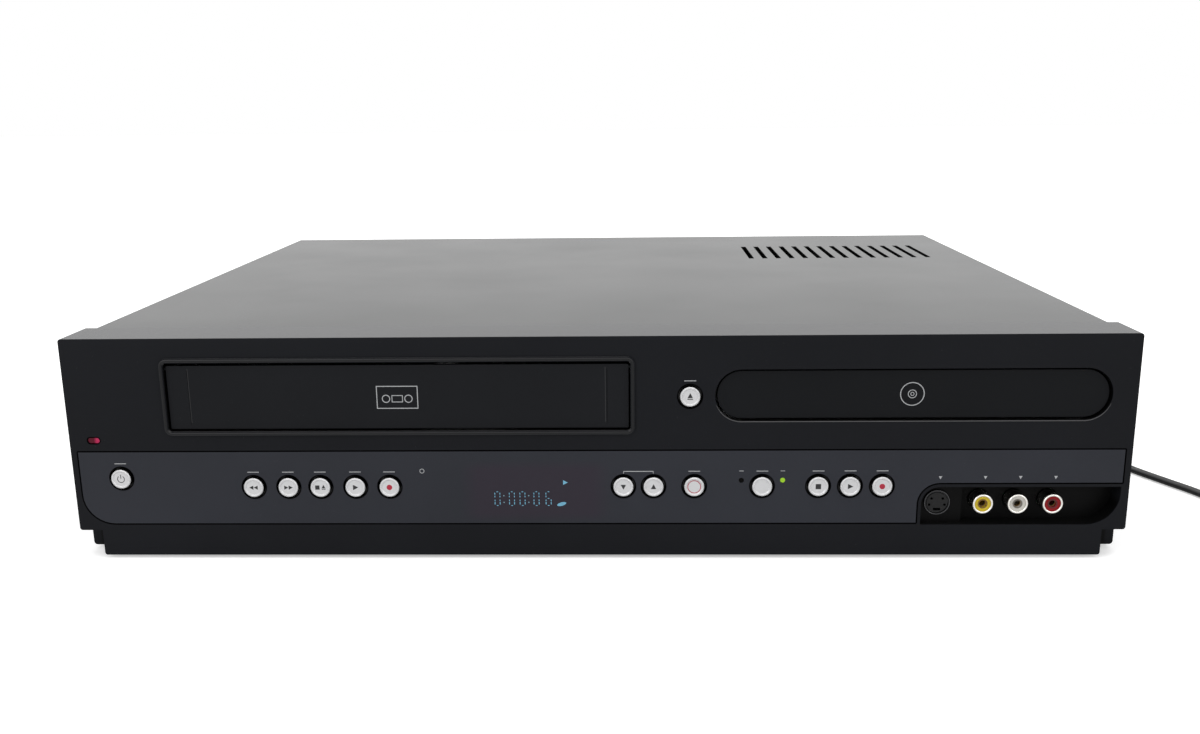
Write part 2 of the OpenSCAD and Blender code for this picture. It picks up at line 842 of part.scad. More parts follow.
module rear_jacks() {
    housing_d = rear_d - 12;
    color(dark)
    for (x = [0, 14, 28, 54, 68, 82])
        block(av_x + x - 5.5, av_x + x + 5.5, housing_d, rear_d, board_z + board_t, x > 60 ? 38 : 54);
    color(steel)
    for (p = PHONO)
        facing(p[0], p[1], rear_d)
            difference() {
                union() {
                    // Neck in the panel's hole, then the shell outside it
                    cylinder(r = jack_r - seat, h = sheet_t);
                    translate([0, 0, sheet_t])
                        cylinder(r = jack_r, h = 7.5);
                }
                cylinder(r = 1.6, h = sheet_t + 7.5 + cut);
            }
    color(steel)
    difference() {
        union() {
            block(digital_x + 0.3, digital_x + 15.2, rear_d - 10, rear_d, board_z + board_t, 31.2);
            block(digital_x + 0.3, digital_x + 15.2, rear_d - 1, cabinet_d + 0.5, 25.3, 31.2);
        }
        block(digital_x + 1, digital_x + 14.5, cabinet_d - 7, cabinet_d + cut, 25.8, 30.6);
    }
}

// Tuner can with two threaded aerial connectors
module aerial_jacks() {
    color(steel) {
        block(aerial_x - 11, aerial_x + 11, main_box[2] + tuner_setback, rear_d, board_z + board_t, 66);
        for (z = AERIAL)
            facing(aerial_x, z, rear_d)
                difference() {
                    union() {
                        cylinder(r = rf_r - jack_neck, h = sheet_t + 1);
                        translate([0, 0, sheet_t])
                            cylinder(r = rf_r, h = rf_proud);
                    }
                    translate([0, 0, 2])
                        cylinder(r = 2.6, h = sheet_t + rf_proud);
                }
    }
}

// ---- Tape deck ----

reel_d = 101;
reel_r = 15;
reel_pin_r = 2;
drum_x = door_x - 6;
drum_deck_d = 186;
drum_h = 12.5;
drum_shaft_r = 3;
capstan_x = door_x + 58;
capstan_d = drum_deck_d - 18;
capstan_r = 1.5;
roller_x = capstan_x - 9;
roller_d = capstan_d - 6;
roller_r = 7;
roller_pin_r = 2;
deck_top = deck_z + deck_t;
post_r = 2.5;
post_x = 41;
post_y = -14;
thread_r = norm([post_x, post_y]);
thread_w = 3.4;
cassette_half = bay_w / 2 - 0.6;
carriage_t = 1;
carriage_d0 = 32;
carriage_l = 86;
ledge_z = bay_low - 1;
guide_r = 2;
guide_slack = 0.3;
guide_z = 68;
guide_drop = 22;
GUIDES = [carriage_d0 + 14, carriage_d0 + carriage_l - 18];

// Curved slots in which the tape guides ran round the drum
module threading_slots() {
    upright(drum_x, drum_deck_d, deck_z - cut)
        linear_extrude(deck_t + 2 * cut)
            for (side = [-1, 1])
                intersection() {
                    difference() {
                        circle(thread_r + thread_w / 2, $fn = 96);
                        circle(thread_r - thread_w / 2, $fn = 96);
                    }
                    polygon([[side * 6, -20], [side * 60, -36], [side * 60, -80], [side * 6, -80]]);
                }
}

// Deck plate between two upright brackets, whose slots guide the carriage in and then down
module deck_chassis() {
    top = 84;
    color(steel) {
        difference() {
            union() {
                block(door_x - deck_half - deck_t, door_x + deck_half + deck_t, deck_d0, deck_d1, deck_z,
                      deck_top);
                for (side = [-1, 1])
                    block(door_x + side * (deck_half + deck_t / 2) - deck_t / 2,
                          door_x + side * (deck_half + deck_t / 2) + deck_t / 2, deck_d0, deck_d1, pan_top,
                          top);
                upright(capstan_x, capstan_d, deck_z - 3)
                    cylinder(r = 4, h = 3 + deck_t + 2);
            }
            for (side = [-1, 1], d = GUIDES) {
                x = door_x + side * (deck_half + deck_t / 2);
                r = guide_r + guide_slack;
                block(x - deck_t, x + deck_t, d - r, d + carriage_travel + r, guide_z - r, guide_z + r);
                block(x - deck_t, x + deck_t, d + carriage_travel - r, d + carriage_travel + r,
                      guide_z - guide_drop, guide_z);
            }
            upright(capstan_x, capstan_d, deck_z - 4)
                cylinder(r = capstan_r + running, h = 10);
            for (x = [door_x - 60, door_x, door_x + 40])
                block(x, x + 24, deck_d0 + 12, deck_d0 + 30, deck_z - cut, deck_top + cut);
            threading_slots();
        }
        for (side = [-1, 1])
            upright(door_x + side * reel_pitch / 2, reel_d, deck_top - 0.4)
                cylinder(r = reel_pin_r, h = 12);
        upright(roller_x, roller_d, deck_top - 0.4)
            cylinder(r = roller_pin_r, h = 24);
        // Tape guides at the ends of their slots: a foot, a post and a flange above and below
        for (side = [-1, 1])
            upright(drum_x + side * post_x, drum_deck_d + post_y, deck_top - 0.4)
                rotate_extrude()
                    polygon([[0, 0], [6, 0], [6, 2], [post_r + 1.4, 2.4], [post_r + 1.4, 3.4],
                             [post_r, 3.6], [post_r, 17.6], [post_r + 1.4, 17.8], [post_r + 1.4, 19],
                             [1.2, 19], [1.2, 22], [0, 22]]);
    }
    // Full erase head on the left of the drum, sound and control head on the right
    color(dark) {
        block(drum_x - 61, drum_x - 52, drum_deck_d - 28, drum_deck_d - 20, deck_top - 0.4,
              deck_top + 17);
        block(drum_x + 45.5, drum_x + 55, drum_deck_d - 11, drum_deck_d - 3, deck_top - 0.4,
              deck_top + 20);
    }
}

module lower_drum() {
    color([0.75, 0.75, 0.77])
    upright(drum_x, drum_deck_d, deck_top)
        difference() {
            union() {
                cylinder(r = drum_d / 2, h = drum_h, $fn = 96);
                cylinder(r = drum_d / 2 + 3, h = 2, $fn = 96);
            }
            translate([0, 0, -cut])
                cylinder(r = drum_shaft_r + running, h = drum_h + 2 * cut);
        }
}

// Rotating half of the drum with its head windows and cap
module head_drum() {
    color([0.82, 0.82, 0.84])
    upright(drum_x, drum_deck_d, deck_top + drum_h + seat)
        difference() {
            union() {
                cylinder(r = drum_d / 2, h = drum_h, $fn = 96);
                cylinder(r = 11, h = drum_h + 3);
                translate([0, 0, -drum_h])
                    cylinder(r = drum_shaft_r, h = drum_h);
            }
            translate([0, 0, drum_h - 3])
                difference() {
                    cylinder(r = drum_d / 2 - 4, h = 4 + cut, $fn = 96);
                    cylinder(r = 11, h = 4 + cut);
                }
            for (a = [0, 90, 180, 270])
                rotate(a)
                    translate([drum_d / 2 - 2, -2, -cut])
                        cube([4, 4, 2.5 + cut]);
        }
}

// Capstan shaft and its flywheel under the deck
module capstan() {
    color(steel)
    upright(capstan_x, capstan_d, 0) {
        translate([0, 0, 8])
            cylinder(r = capstan_r, h = 38);
        translate([0, 0, 9])
            difference() {
                cylinder(r = 24, h = 6, $fn = 64);
                translate([0, 0, 2])
                    difference() {
                        cylinder(r = 20, h = 6);
                        cylinder(r = 6, h = 6);
                    }
            }
    }
}

module pinch_roller() {
    color([0.12, 0.12, 0.12])
    upright(roller_x, roller_d, deck_top + seat + 3)
        difference() {
            union() {
                cylinder(r = roller_r, h = 15);
                translate([0, 0, -3])
                    cylinder(r = 3.4, h = 20);
            }
            translate([0, 0, -cut - 3])
                cylinder(r = roller_pin_r + running, h = 24 + cut);
        }
}

// A reel table with its three-vaned hub
module reel_table(side) {
    color([0.2, 0.2, 0.22])
    upright(door_x + side * reel_pitch / 2, reel_d, deck_top + seat)
        difference() {
            union() {
                cylinder(r = reel_r, h = 3);
                cylinder(r = reel_r - 3, h = 5);
                cylinder(r = 6.5, h = 14);
                for (a = [0, 120, 240])
                    rotate(a)
                        translate([4, -1, 4])
                            cube([6, 2, 8.5]);
            }
            translate([0, 0, -cut])
                cylinder(r = reel_pin_r + running, h = 12.6 + cut);
        }
}

// Basket that takes the cassette in: two side channels under a bridge, with guide pins
module cassette_carriage() {
    bridge_z = bay_low + 26.4;
    d1 = carriage_d0 + carriage_l;
    out = cassette_half + carriage_t;
    color([0.6, 0.61, 0.63]) {
        for (side = [-1, 1]) {
            xs = [door_x + side * cassette_half, door_x + side * out];
            block(min(xs), max(xs), carriage_d0, d1, ledge_z, bridge_z + carriage_t);
            xl = [door_x + side * (cassette_half - 13), door_x + side * cassette_half];
            block(min(xl), max(xl), carriage_d0 + 4, d1, ledge_z, ledge_z + carriage_t);
            for (d = GUIDES)
                upright(door_x + side * out, d, guide_z)
                    rotate([0, side * 90, 0])
                        cylinder(r = guide_r, h = deck_half + deck_t - out + 1, $fn = 32);
        }
        difference() {
            block(door_x - cassette_half, door_x + cassette_half, carriage_d0 + 20, d1 - 14, bridge_z,
                  bridge_z + carriage_t);
            for (x = [-62, -22, 18])
                block(door_x + x, door_x + x + 44 - 4, carriage_d0 + 30, d1 - 26, bridge_z - cut,
                      bridge_z + carriage_t + cut);
        }
    }
}

// ---- Disc drive ----

disc_mid_d = 82;
well_gap = 0.75;
tray_d0 = 4.5;
tray_d1 = 168;
tray_low = tray_z - 3;
tray_top = tray_z + 4;
slot_half = 19;
rail_w = 5;
// The rack's pitch line
rack_x = tray_x + 57;
addendum = 0.8;
dedendum = 1.25;
rack_z0 = tray_low - 5;
gear_r = gear_m * gear_teeth / 2;
gear_backlash = 0.15;
pressure = 20;
gear_x = rack_x - gear_r - gear_backlash;
gear_d = 24;
gear_h = 4.2;
gear_pin_r = 1.5;
runner_gap = 0.35;
pitch = PI * gear_m;
puck_r = 11;
traverse_z = drive_z0 + drive_wall;

// Tub of the drive with runners for the tray, the gear's stud and the bridge over the disc
module disc_drive_case() {
    front_low = rack_z0 - 1;
    front_high = tray_top + 1.5;
    runner_x = tray_w / 2 - 2;
    color([0.72, 0.73, 0.75])
    difference() {
        union() {
            difference() {
                block(drive_x0, drive_x1, drive_d0, drive_d1, drive_z0, drive_z1);
                block(drive_x0 + drive_wall, drive_x1 - drive_wall, drive_d0 + drive_wall,
                      drive_d1 - drive_wall, drive_z0 + drive_wall, drive_z1 + cut);
                block(tray_x - tray_w / 2 - 1, tray_x + tray_w / 2 + 1, drive_d0 - cut,
                      drive_d0 + drive_wall + cut, front_low, front_high);
            }
            for (side = [-1, 1], z = [tray_low - runner_gap - 1.2, tray_top + runner_gap]) {
                xs = [tray_x + side * runner_x, tray_x + side * (74 - drive_wall / 2)];
                block(min(xs), max(xs), drive_d0 + drive_wall / 2, drive_d1 - drive_wall / 2, z, z + 1.2);
            }
            upright(gear_x, gear_d, traverse_z - 0.4) {
                cylinder(r = 3, h = rack_z0 - traverse_z + 0.4);
                cylinder(r = gear_pin_r, h = rack_z0 + gear_h + 0.6 - traverse_z);
            }
            block(drive_x0 + drive_wall / 2, drive_x1 - drive_wall / 2, disc_mid_d - 17, disc_mid_d + 17,
                  drive_z1 - 1.2, drive_z1);
            upright(tray_x, disc_mid_d, tray_top + 5.5)
                cylinder(r = puck_r + 4, h = drive_z1 - tray_top - 5.5);
        }
        upright(tray_x, disc_mid_d, tray_top + 4)
            cylinder(r = puck_r - 0.2, h = 30);
        upright(tray_x, disc_mid_d, tray_top + 7)
            cylinder(r = puck_r + 2.2, h = 30);
    }
}

// Rack tooth outline about the pitch line: the addendum points to -X
module rack_teeth(n) {
    t = tan(pressure);
    half = pitch / 4;
    for (i = [0:n - 1])
        translate([0, i * pitch])
            polygon([[gear_m * dedendum, -half - gear_m * dedendum * t],
                     [-gear_m * addendum, -half + gear_m * addendum * t],
                     [-gear_m * addendum, half - gear_m * addendum * t],
                     [gear_m * dedendum, half + gear_m * dedendum * t]]);
}

module disc_tray() {
    rack_n = floor((tray_d1 - tray_d0 - 8) / pitch);
    rack_start = gear_d - round((gear_d - tray_d0 - 4) / pitch - 0.5) * pitch;
    color(dark) {
        difference() {
            block(tray_x - tray_w / 2, tray_x + tray_w / 2, tray_d0, tray_d1, tray_low, tray_top);
            upright(tray_x, disc_mid_d, tray_top - 2.6)
                cylinder(r = disc_d / 2 + well_gap, h = 5, $fn = 96);
            upright(tray_x, disc_mid_d, tray_top - 4)
                cylinder(r = 41, h = 5, $fn = 96);
            upright(tray_x, disc_mid_d, tray_low - cut)
                cylinder(r = slot_half, h = 10);
            block(tray_x - slot_half, tray_x + slot_half, disc_mid_d, tray_d1 + cut, tray_low - cut,
                  tray_top + cut);
            // Finger notches beside the well
            for (side = [-1, 1])
                upright(tray_x + side * 55, disc_mid_d - 46, tray_top - 5)
                    cylinder(r = 9, h = 6);
        }
        upright(rack_x, rack_start, rack_z0)
            linear_extrude(tray_low - rack_z0)
                rack_teeth(rack_n);
        block(rack_x + gear_m * dedendum - 0.05, rack_x + rail_w + 1, tray_d0, tray_d1, rack_z0, tray_low);
    }
}

module tray_front() {
    color(black)
    slab(1.5, tray_d0)
        stadium(tray_x, tray_z, slot_w - 2 * tray_gap, slot_h - 2 * tray_gap);
}

// A point of an involute flank at radius r, from the base circle r_b, turned by a0 towards side s
function involute(r_b, r, a0, s) =
    let (v = sqrt(max(0, pow(r / r_b, 2) - 1)), a = a0 + s * (v * 180 / PI - atan(v)))
    [r * cos(a), r * sin(a)];

// Involute gear of module m with n teeth; each flank has a few points, and the roots are straight
module gear_outline(m, n) {
    r_p = m * n / 2;
    r_b = r_p * cos(pressure);
    r_o = r_p + m;
    r_r = r_p - dedendum * m;
    half = 90 / n + tan(pressure) * 180 / PI - pressure;
    steps = 4;
    radii = [for (k = [0:steps - 1]) r_b + (r_o - r_b) * k / (steps - 1)];
    polygon([
        for (i = [0:n - 1], k = [0:2 * steps + 1])
            let (a = i * 360 / n)
            k == 0 ? [r_r * cos(a - half), r_r * sin(a - half)]
            : k <= steps ? involute(r_b, radii[k - 1], a - half, 1)
            : k <= 2 * steps ? involute(r_b, radii[2 * steps - k], a + half, -1)
            : [r_r * cos(a + half), r_r * sin(a + half)]
    ]);
}

module loading_gear() {
    color([0.9, 0.9, 0.86])
    upright(gear_x, gear_d, rack_z0 + seat)
        difference() {
            linear_extrude(gear_h)
                rotate(180 / gear_teeth)
                    gear_outline(gear_m, gear_teeth);
            translate([0, 0, -cut])
                cylinder(r = gear_pin_r + running, h = gear_h + 2 * cut);
        }
}

spindle_r = 1.2;
motor_top = 60;
table_z = tray_top - 6;
rail_z = 60;
rail_x = 20;
rail_r = 1.5;
rail_d0 = disc_mid_d + 15;
rail_d1 = disc_mid_d + 80;
pickup_d0 = disc_mid_d + 18;
pickup_l = 24;
pickup_travel = 34;

// Turntable on its spindle, with the cone that centres the disc
module turntable() {
    color(dark)
    upright(tray_x, disc_mid_d, 0)
        difference() {
            rotate_extrude()
                polygon([[0, motor_top - 6], [spindle_r, motor_top - 6], [spindle_r, table_z],
                         [14, table_z], [14, table_z + 2.4], [7.4, table_z + 2.4],
                         [6.6, table_z + 4.6], [0, table_z + 4.6]]);
            for (a = [0, 120, 240])
                rotate(a)
                    translate([10.7, -0.5, table_z + 2])
                        cube([2, 1, 1]);
        }
}

// Traverse plate with the spindle motor and the two rods that carry the pickup
module pickup_rails() {
    color(steel)
    difference() {
        union() {
            block(tray_x - 27, tray_x + 27, disc_mid_d - 18, rail_d1 + 4, traverse_z, traverse_z + 1.2);
            upright(tray_x, disc_mid_d, traverse_z + 0.8)
                cylinder(r = 13, h = motor_top - traverse_z - 0.8);
            for (side = [-1, 1]) {
                for (d = [rail_d0 - 1, rail_d1 - 2])
                    block(tray_x + side * rail_x - 3, tray_x + side * rail_x + 3, d, d + 3, traverse_z,
                          rail_z + 3);
                facing(tray_x + side * rail_x, rail_z, rail_d0)
                    cylinder(r = rail_r, h = rail_d1 - rail_d0);
            }
        }
        upright(tray_x, disc_mid_d, motor_top - 7)
            cylinder(r = spindle_r + running, h = 10);
    }
}

module laser_pickup() {
    body_half = rail_x + 4;
    color([0.25, 0.25, 0.28])
    difference() {
        union() {
            block(tray_x - body_half, tray_x + body_half, pickup_d0, pickup_d0 + pickup_l, rail_z - 5,
                  rail_z + 4.5);
            upright(tray_x, pickup_d0 + 6, rail_z + 4)
                cylinder(r = 4, h = 3);
        }
        for (side = [-1, 1])
            facing(tray_x + side * rail_x, rail_z, pickup_d0 - cut)
                cylinder(r = rail_r + running, h = pickup_l + 2 * cut);
        block(tray_x - 12, tray_x + 12, pickup_d0 + 12, pickup_d0 + 20, rail_z - 5 - cut, rail_z - 1);
    }
}

// Puck that holds the disc down, hanging in the bridge's boss by its upper flange
module disc_clamp() {
    color(dark)
    upright(tray_x, disc_mid_d, 0)
        rotate_extrude()
            polygon([[0, tray_top - 0.4], [puck_r + 2, tray_top - 0.4], [puck_r + 2, tray_top + 3],
                     [puck_r - 0.7, tray_top + 3], [puck_r - 0.7, tray_top + 7 + seat],
                     [puck_r + 1.6, tray_top + 7 + seat], [puck_r + 1.6, tray_top + 8.4],
                     [0, tray_top + 8.4]]);
}

// ---- Cord ----

cord_t = 2.8;
lay_z = 1.5;
relief_l = 26;
exit_z = foot_clear + bushing_z;
// Route of the cord from the strain relief to the coil, and from the coil to the plug
ROUTE = [
    [190, 192, 25.5], [190, 200, 25], [190.5, 208, 23], [192, 216, 19], [194.5, 224, 13.5],
    [198, 231, 8], [203, 237, 3.8], [209, 241, 1.7], [217, 242.5, 1.5], [225, 240.5, 1.5],
    [232, 235.5, 1.5], [237.5, 228.5, 1.5], [241, 220, 1.5], [243, 208, 1.5], [244, 193, 1.5],
    [244.5, 175, 1.5], [245, 155, 1.5], [245.5, 133, 1.5], [246, 110, 1.5], [247, 86, 1.5],
    [248.5, 61, 1.5], [250.5, 36, 1.5], [252.5, 11, 1.5], [255, -13, 1.5], [260, -38, 1.5],
    [267.5, -62, 1.5], [276, -81, 1.5], [283.5, -97, 1.5], [289.6, -115.8, 1.5]
];
TAIL = [[290.2, -156.5, 4.4], [290.2, -164, 4.3], [290.2, -172, 4.8], [290.2, -180, 5.8], [290.2, -186, 6]];
coil_c = [330, -135];
coil_in = 18.9;
coil_out = 42.5;
coil_h = 6;
plug_z = 6;

function unit(v) = v / norm(v);

// Flat section swept along the points, with its wide side level
module swept(points, n = 8) {
    last = len(points) - 1;
    rings = [
        for (i = [0:last])
            let (
                along = unit(points[min(i + 1, last)] - points[max(i - 1, 0)]),
                side = unit(cross(along, [0, 0, 1])),
                up = cross(side, along)
            )
            for (k = [0:n - 1])
                points[i] + side * cos(k * 360 / n) * cord_w / 2 + up * sin(k * 360 / n) * cord_t / 2
    ];
    polyhedron(rings, concat(
        [[for (k = [0:n - 1]) k]],
        [[for (k = [n - 1:-1:0]) last * n + k]],
        [for (i = [0:last - 1], k = [0:n - 1])
            [i * n + k, (i + 1) * n + k, (i + 1) * n + (k + 1) % n, i * n + (k + 1) % n]]
    ));
}

module power_cord() {
    color([0.08, 0.08, 0.08]) {
        swept(ROUTE);
        swept(TAIL);
    }
}

module cord_coil() {
    color([0.08, 0.08, 0.08])
    translate([coil_c[0], coil_c[1], 0])
        rotate_extrude($fn = 72)
            polygon([[coil_in, 1], [coil_in + 1, 0.1], [coil_out - 1, 0.1], [coil_out, 1],
                     [coil_out, coil_h - 1], [coil_out - 1, coil_h], [coil_in + 1, coil_h],
                     [coil_in, coil_h - 1]]);
}

// Grommet in the rear panel with its tapered strain relief
module cord_bushing() {
    color([0.09, 0.09, 0.09])
    facing(bushing_x, bushing_z, rear_d - 2)
        rotate_extrude()
            polygon([[0, 0], [bushing_r + 1.5, 0], [bushing_r + 1.5, 2], [bushing_r, 2],
                     [bushing_r, 2 + sheet_t], [bushing_r + 1.5, 2 + sheet_t],
                     [bushing_r + 1.5, 4 + sheet_t], [4.2, 5 + sheet_t],
                     [3, relief_l + 2 + sheet_t - 0.2], [0, relief_l + 2 + sheet_t - 0.2]]);
}

// Flat two-blade plug lying on the table
module cord_plug() {
    x = TAIL[4][0];
    y = TAIL[4][1];
    body_w = 22;
    body_l = 26;
    blade_l = 16;
    color([0.09, 0.09, 0.09]) {
        translate([x, y, plug_z])
            rotate([90, 0, 0])
                cylinder(r1 = 3, r2 = 5, h = 12);
        translate([x - body_w / 2, y - 11 - body_l, 0.1])
            cube([body_w, body_l, 11.8]);
    }
    color([0.8, 0.7, 0.4])
    for (side = [-1, 1])
        translate([x + side * 6.35 - 0.75, y - 10.5 - body_l - blade_l, plug_z - 3.2])
            cube([1.5, blade_l, 6.4]);
}

front_panel();
control_panel();
cassette_door();
top_cover();
rear_panel();
base_chassis();
feet();
cover_screws();
push_button(BUTTONS[0]);  // power_button
push_button(BUTTONS[1]);  // rewind_button
push_button(BUTTONS[2]);  // fast_forward_button
push_button(BUTTONS[3]);  // tape_stop_eject_button
push_button(BUTTONS[4]);  // tape_play_button
push_button(BUTTONS[5]);  // tape_record_button
push_button(BUTTONS[6]);  // tray_button
push_button(BUTTONS[7]);  // channel_down_button
push_button(BUTTONS[8]);  // channel_up_button
push_button(BUTTONS[9]);  // dubbing_button
push_button(BUTTONS[10]);  // source_button
push_button(BUTTONS[11]);  // disc_stop_button
push_button(BUTTONS[12]);  // disc_play_button
push_button(BUTTONS[13]);  // disc_record_button
power_lamp();
lamp(LAMPS[0], [0.2, 0.25, 0.1]);  // tape_lamp
lamp(LAMPS[1], [0.6, 0.85, 0.15]);  // disc_lamp
display_tube();
key_board();
key_switches();
jack_board();
svideo_socket();
jack_shells();
jack_insert(0, [0.85, 0.75, 0.15]);  // video_insert
jack_insert(1, [0.9, 0.9, 0.9]);  // audio_left_insert
jack_insert(2, [0.75, 0.1, 0.15]);  // audio_right_insert
main_board();
power_board();
fan_frame();
fan_rotor();
deck_chassis();
lower_drum();
head_drum();
capstan();
pinch_roller();
reel_table(-1);  // supply_reel
reel_table(1);  // take_up_reel
cassette_carriage();
disc_drive_case();
disc_tray();
tray_front();
loading_gear();
turntable();
disc_clamp();
laser_pickup();
pickup_rails();
rear_jacks();
aerial_jacks();
cord_bushing();
power_cord();
cord_coil();
cord_plug();
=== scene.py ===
# %% [markdown]
# # Dressing a video cassette and disc player
# The player arrives as a imported CAD model: every panel, button, gear and board is there at its
# real size, and every moving piece already hangs on its own body. This lesson gives it its looks.
# We read places from the imported model, so a piece stays where the CAD says when a size changes.
# Everything is in metres, X to the right, Y to the back, Z up.

# %% Load the imported player
from math import cos, sin

import bpy
import numpy as np
from mathutils import Matrix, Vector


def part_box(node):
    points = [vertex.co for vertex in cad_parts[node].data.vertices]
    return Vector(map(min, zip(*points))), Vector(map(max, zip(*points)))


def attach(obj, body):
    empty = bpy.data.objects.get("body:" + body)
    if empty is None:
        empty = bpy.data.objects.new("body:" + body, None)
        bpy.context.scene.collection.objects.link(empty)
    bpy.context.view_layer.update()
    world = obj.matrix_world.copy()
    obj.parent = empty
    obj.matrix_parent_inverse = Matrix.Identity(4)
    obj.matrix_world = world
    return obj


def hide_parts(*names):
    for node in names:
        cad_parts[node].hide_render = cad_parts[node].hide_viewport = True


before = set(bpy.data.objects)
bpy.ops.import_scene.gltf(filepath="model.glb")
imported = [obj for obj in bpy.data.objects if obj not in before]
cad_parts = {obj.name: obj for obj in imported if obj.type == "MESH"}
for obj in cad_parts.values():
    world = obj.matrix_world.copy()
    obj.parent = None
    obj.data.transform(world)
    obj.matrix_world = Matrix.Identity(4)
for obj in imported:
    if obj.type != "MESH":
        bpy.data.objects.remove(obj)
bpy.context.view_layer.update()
MM = 0.001

# %% [markdown]
# ## Camera
# A product picture is taken from the front, a little above, so that the top shows. Three small
# turns describe it: yaw about Z, pitch downwards and a slight roll. The product of their three
# matrices gives the camera's right, forward and up directions. `placed` makes such directions
# the columns of an object's matrix; the lights use it too.

# %% Camera
def linked(name, data):
    """A new object in the scene."""
    made = bpy.data.objects.new(name, data)
    bpy.context.collection.objects.link(made)
    return made


def placed(name, data, place, right, up, away):
    """A new object, with three directions and a place as its matrix's columns."""
    made = linked(name, data)
    made.matrix_world = Matrix([*np.array([right, up, away, place]).T.tolist(), (0, 0, 0, 1)])
    return made


yaw, pitch, roll = 0.03, 0.2318, -0.0118
turn = [[cos(yaw), sin(yaw), 0], [-sin(yaw), cos(yaw), 0], [0, 0, 1]]
nod = [[1, 0, 0], [0, cos(pitch), -sin(pitch)], [0, sin(pitch), cos(pitch)]]
lean = [[cos(roll), 0, sin(roll)], [0, 1, 0], [-sin(roll), 0, cos(roll)]]
right, forward, up = np.array(lean) @ nod @ turn
camera_place = (0.01594, -0.62029, 0.18760)
sensor_mm, lens_mm = 36, 34.24
lens = bpy.data.cameras.new("camera")
lens.sensor_width, lens.lens = sensor_mm, lens_mm
bpy.context.scene.camera = placed("camera", lens, camera_place, right, up, -forward)
print("camera looks along", np.round(forward, 3))

# %% [markdown]
# ## Helpers for meshes
# Nearly every new piece is a grid of points: rows along one parameter, columns along another.
# `sheet_faces` numbers the quads of such a grid as whole arrays, and can join the last row or
# column to the first. `solid` puts pairs of points and faces into one mesh with a finish, and
# `part` also makes it ride on a body. Its object stays at the origin, so its place is in its
# points.

# %% Grid faces and parts
def sheet_faces(rows, cols, join_rows=False, join_cols=False):
    """Quads of a grid: corner (i, j), (i+1, j), (i+1, j+1), (i, j+1), wrapped where joined."""
    i, j = np.meshgrid(np.arange(rows if join_rows else rows - 1),
                       np.arange(cols if join_cols else cols - 1), indexing="ij")
    i, j = i.ravel(), j.ravel()
    i2, j2 = (i + 1) % rows, (j + 1) % cols
    return np.stack([i * cols + j, i2 * cols + j, i2 * cols + j2, i * cols + j2], axis=1)


def tube_faces(rows, cols):
    """A sheet whose columns are joined, with its first and last row closed by a cap."""
    first, last = list(range(cols)), list(range((rows - 1) * cols, rows * cols))
    return [*sheet_faces(rows, cols, join_cols=True).tolist(), first, last[::-1]]


def solid(name, shapes, finish, smooth=False):
    """A new mesh object from a list of (points, faces) pairs."""
    points, faces, start = [], [], 0
    for p, f in shapes:
        points.append(np.asarray(p, float).reshape(-1, 3))
        faces += [[int(k) + start for k in face] for face in f]
        start += len(points[-1])
    mesh = bpy.data.meshes.new(name)
    mesh.from_pydata(np.concatenate(points).tolist(), [], faces)
    mesh.polygons.foreach_set("use_smooth", [smooth] * len(mesh.polygons))
    mesh.validate()
    mesh.materials.append(finish.material)
    return linked(name, mesh)


def part(name, shapes, finish, body="root", smooth=False):
    """A piece that rides on a body."""
    made = solid(name, shapes, finish, smooth)
    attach(made, body)
    return made


# %% [markdown]
# ## Turned shapes and plates
# Two kinds of shape come back all over a player. A profile of (radius, height) turned about an
# axis makes a screw head when it is open, and a ring when it is a closed loop. A plate pushes a
# flat outline through a small thickness, that of ink if nothing else is said. All return points
# and faces, so that several can share one piece, and are drawn in millimetres.

# %% Turned shapes and plates
AXES = {
    "front": np.array([[1, 0, 0], [0, 0, 1], [0, -1, 0]]),
    "back": np.array([[-1, 0, 0], [0, 0, 1], [0, 1, 0]]),
    "right": np.array([[0, 1, 0], [0, 0, 1], [1, 0, 0]]),
}
INK_THICK = 0.04


def angles(n):
    """A full turn in n even steps."""
    return np.linspace(0, 2 * np.pi, n, endpoint=False)


def polar(r, a, h, centre, axis):
    """A grid of points (r cos a, r sin a, h) about a centre.

    The rows of the chosen axes matrix say where the local directions point in the room.
    """
    local = np.stack([r * np.cos(a), r * np.sin(a), h + 0 * a], axis=2).reshape(-1, 3) * MM
    return local @ AXES[axis] + np.asarray(centre, float)


def lathe(profile, centre, axis, n):
    """An open profile of points (r, h), turned and closed at both poles."""
    r, h = np.asarray(profile, float).T[..., None]
    return polar(r, angles(n), h, centre, axis), [f[::-1] for f in tube_faces(len(r), n)]


def hoop(loop, centre, axis="front", n=64, arc=(0, 360)):
    """An anticlockwise loop of points (r, h) swept over an arc, with caps where it is open."""
    r, h = np.asarray(loop, float).T
    full = arc[1] - arc[0] >= 360
    a = np.radians(np.linspace(*arc, n, endpoint=not full))[:, None]
    faces = sheet_faces(n, len(r), True, True) if full else tube_faces(n, len(r))
    return polar(r, a, h, centre, axis), faces


def ring(r_in, r_out, centre, thick=INK_THICK, axis="front", n=48, arc=(0, 360)):
    """A flat ring: a hoop with four corners."""
    return hoop([(r_in, 0), (r_out, 0), (r_out, thick), (r_in, thick)], centre, axis, n, arc)


def disc(r, n=32):
    """Outline of a circle."""
    a = angles(n)
    return r * np.stack([np.cos(a), np.sin(a)], axis=1)


def round_loop(r, h, radius, squash=1.0):
    """A circle about (r, h) as a profile loop, for O-ring shapes."""
    return disc(radius, 16) * (1, squash) + (r, h)


def rounded(a, power):
    """cos a and sin a with their sizes raised to a power: below 1 a circle becomes a box."""
    return [np.sign(f) * np.abs(f) ** power for f in (np.cos(a), np.sin(a))]


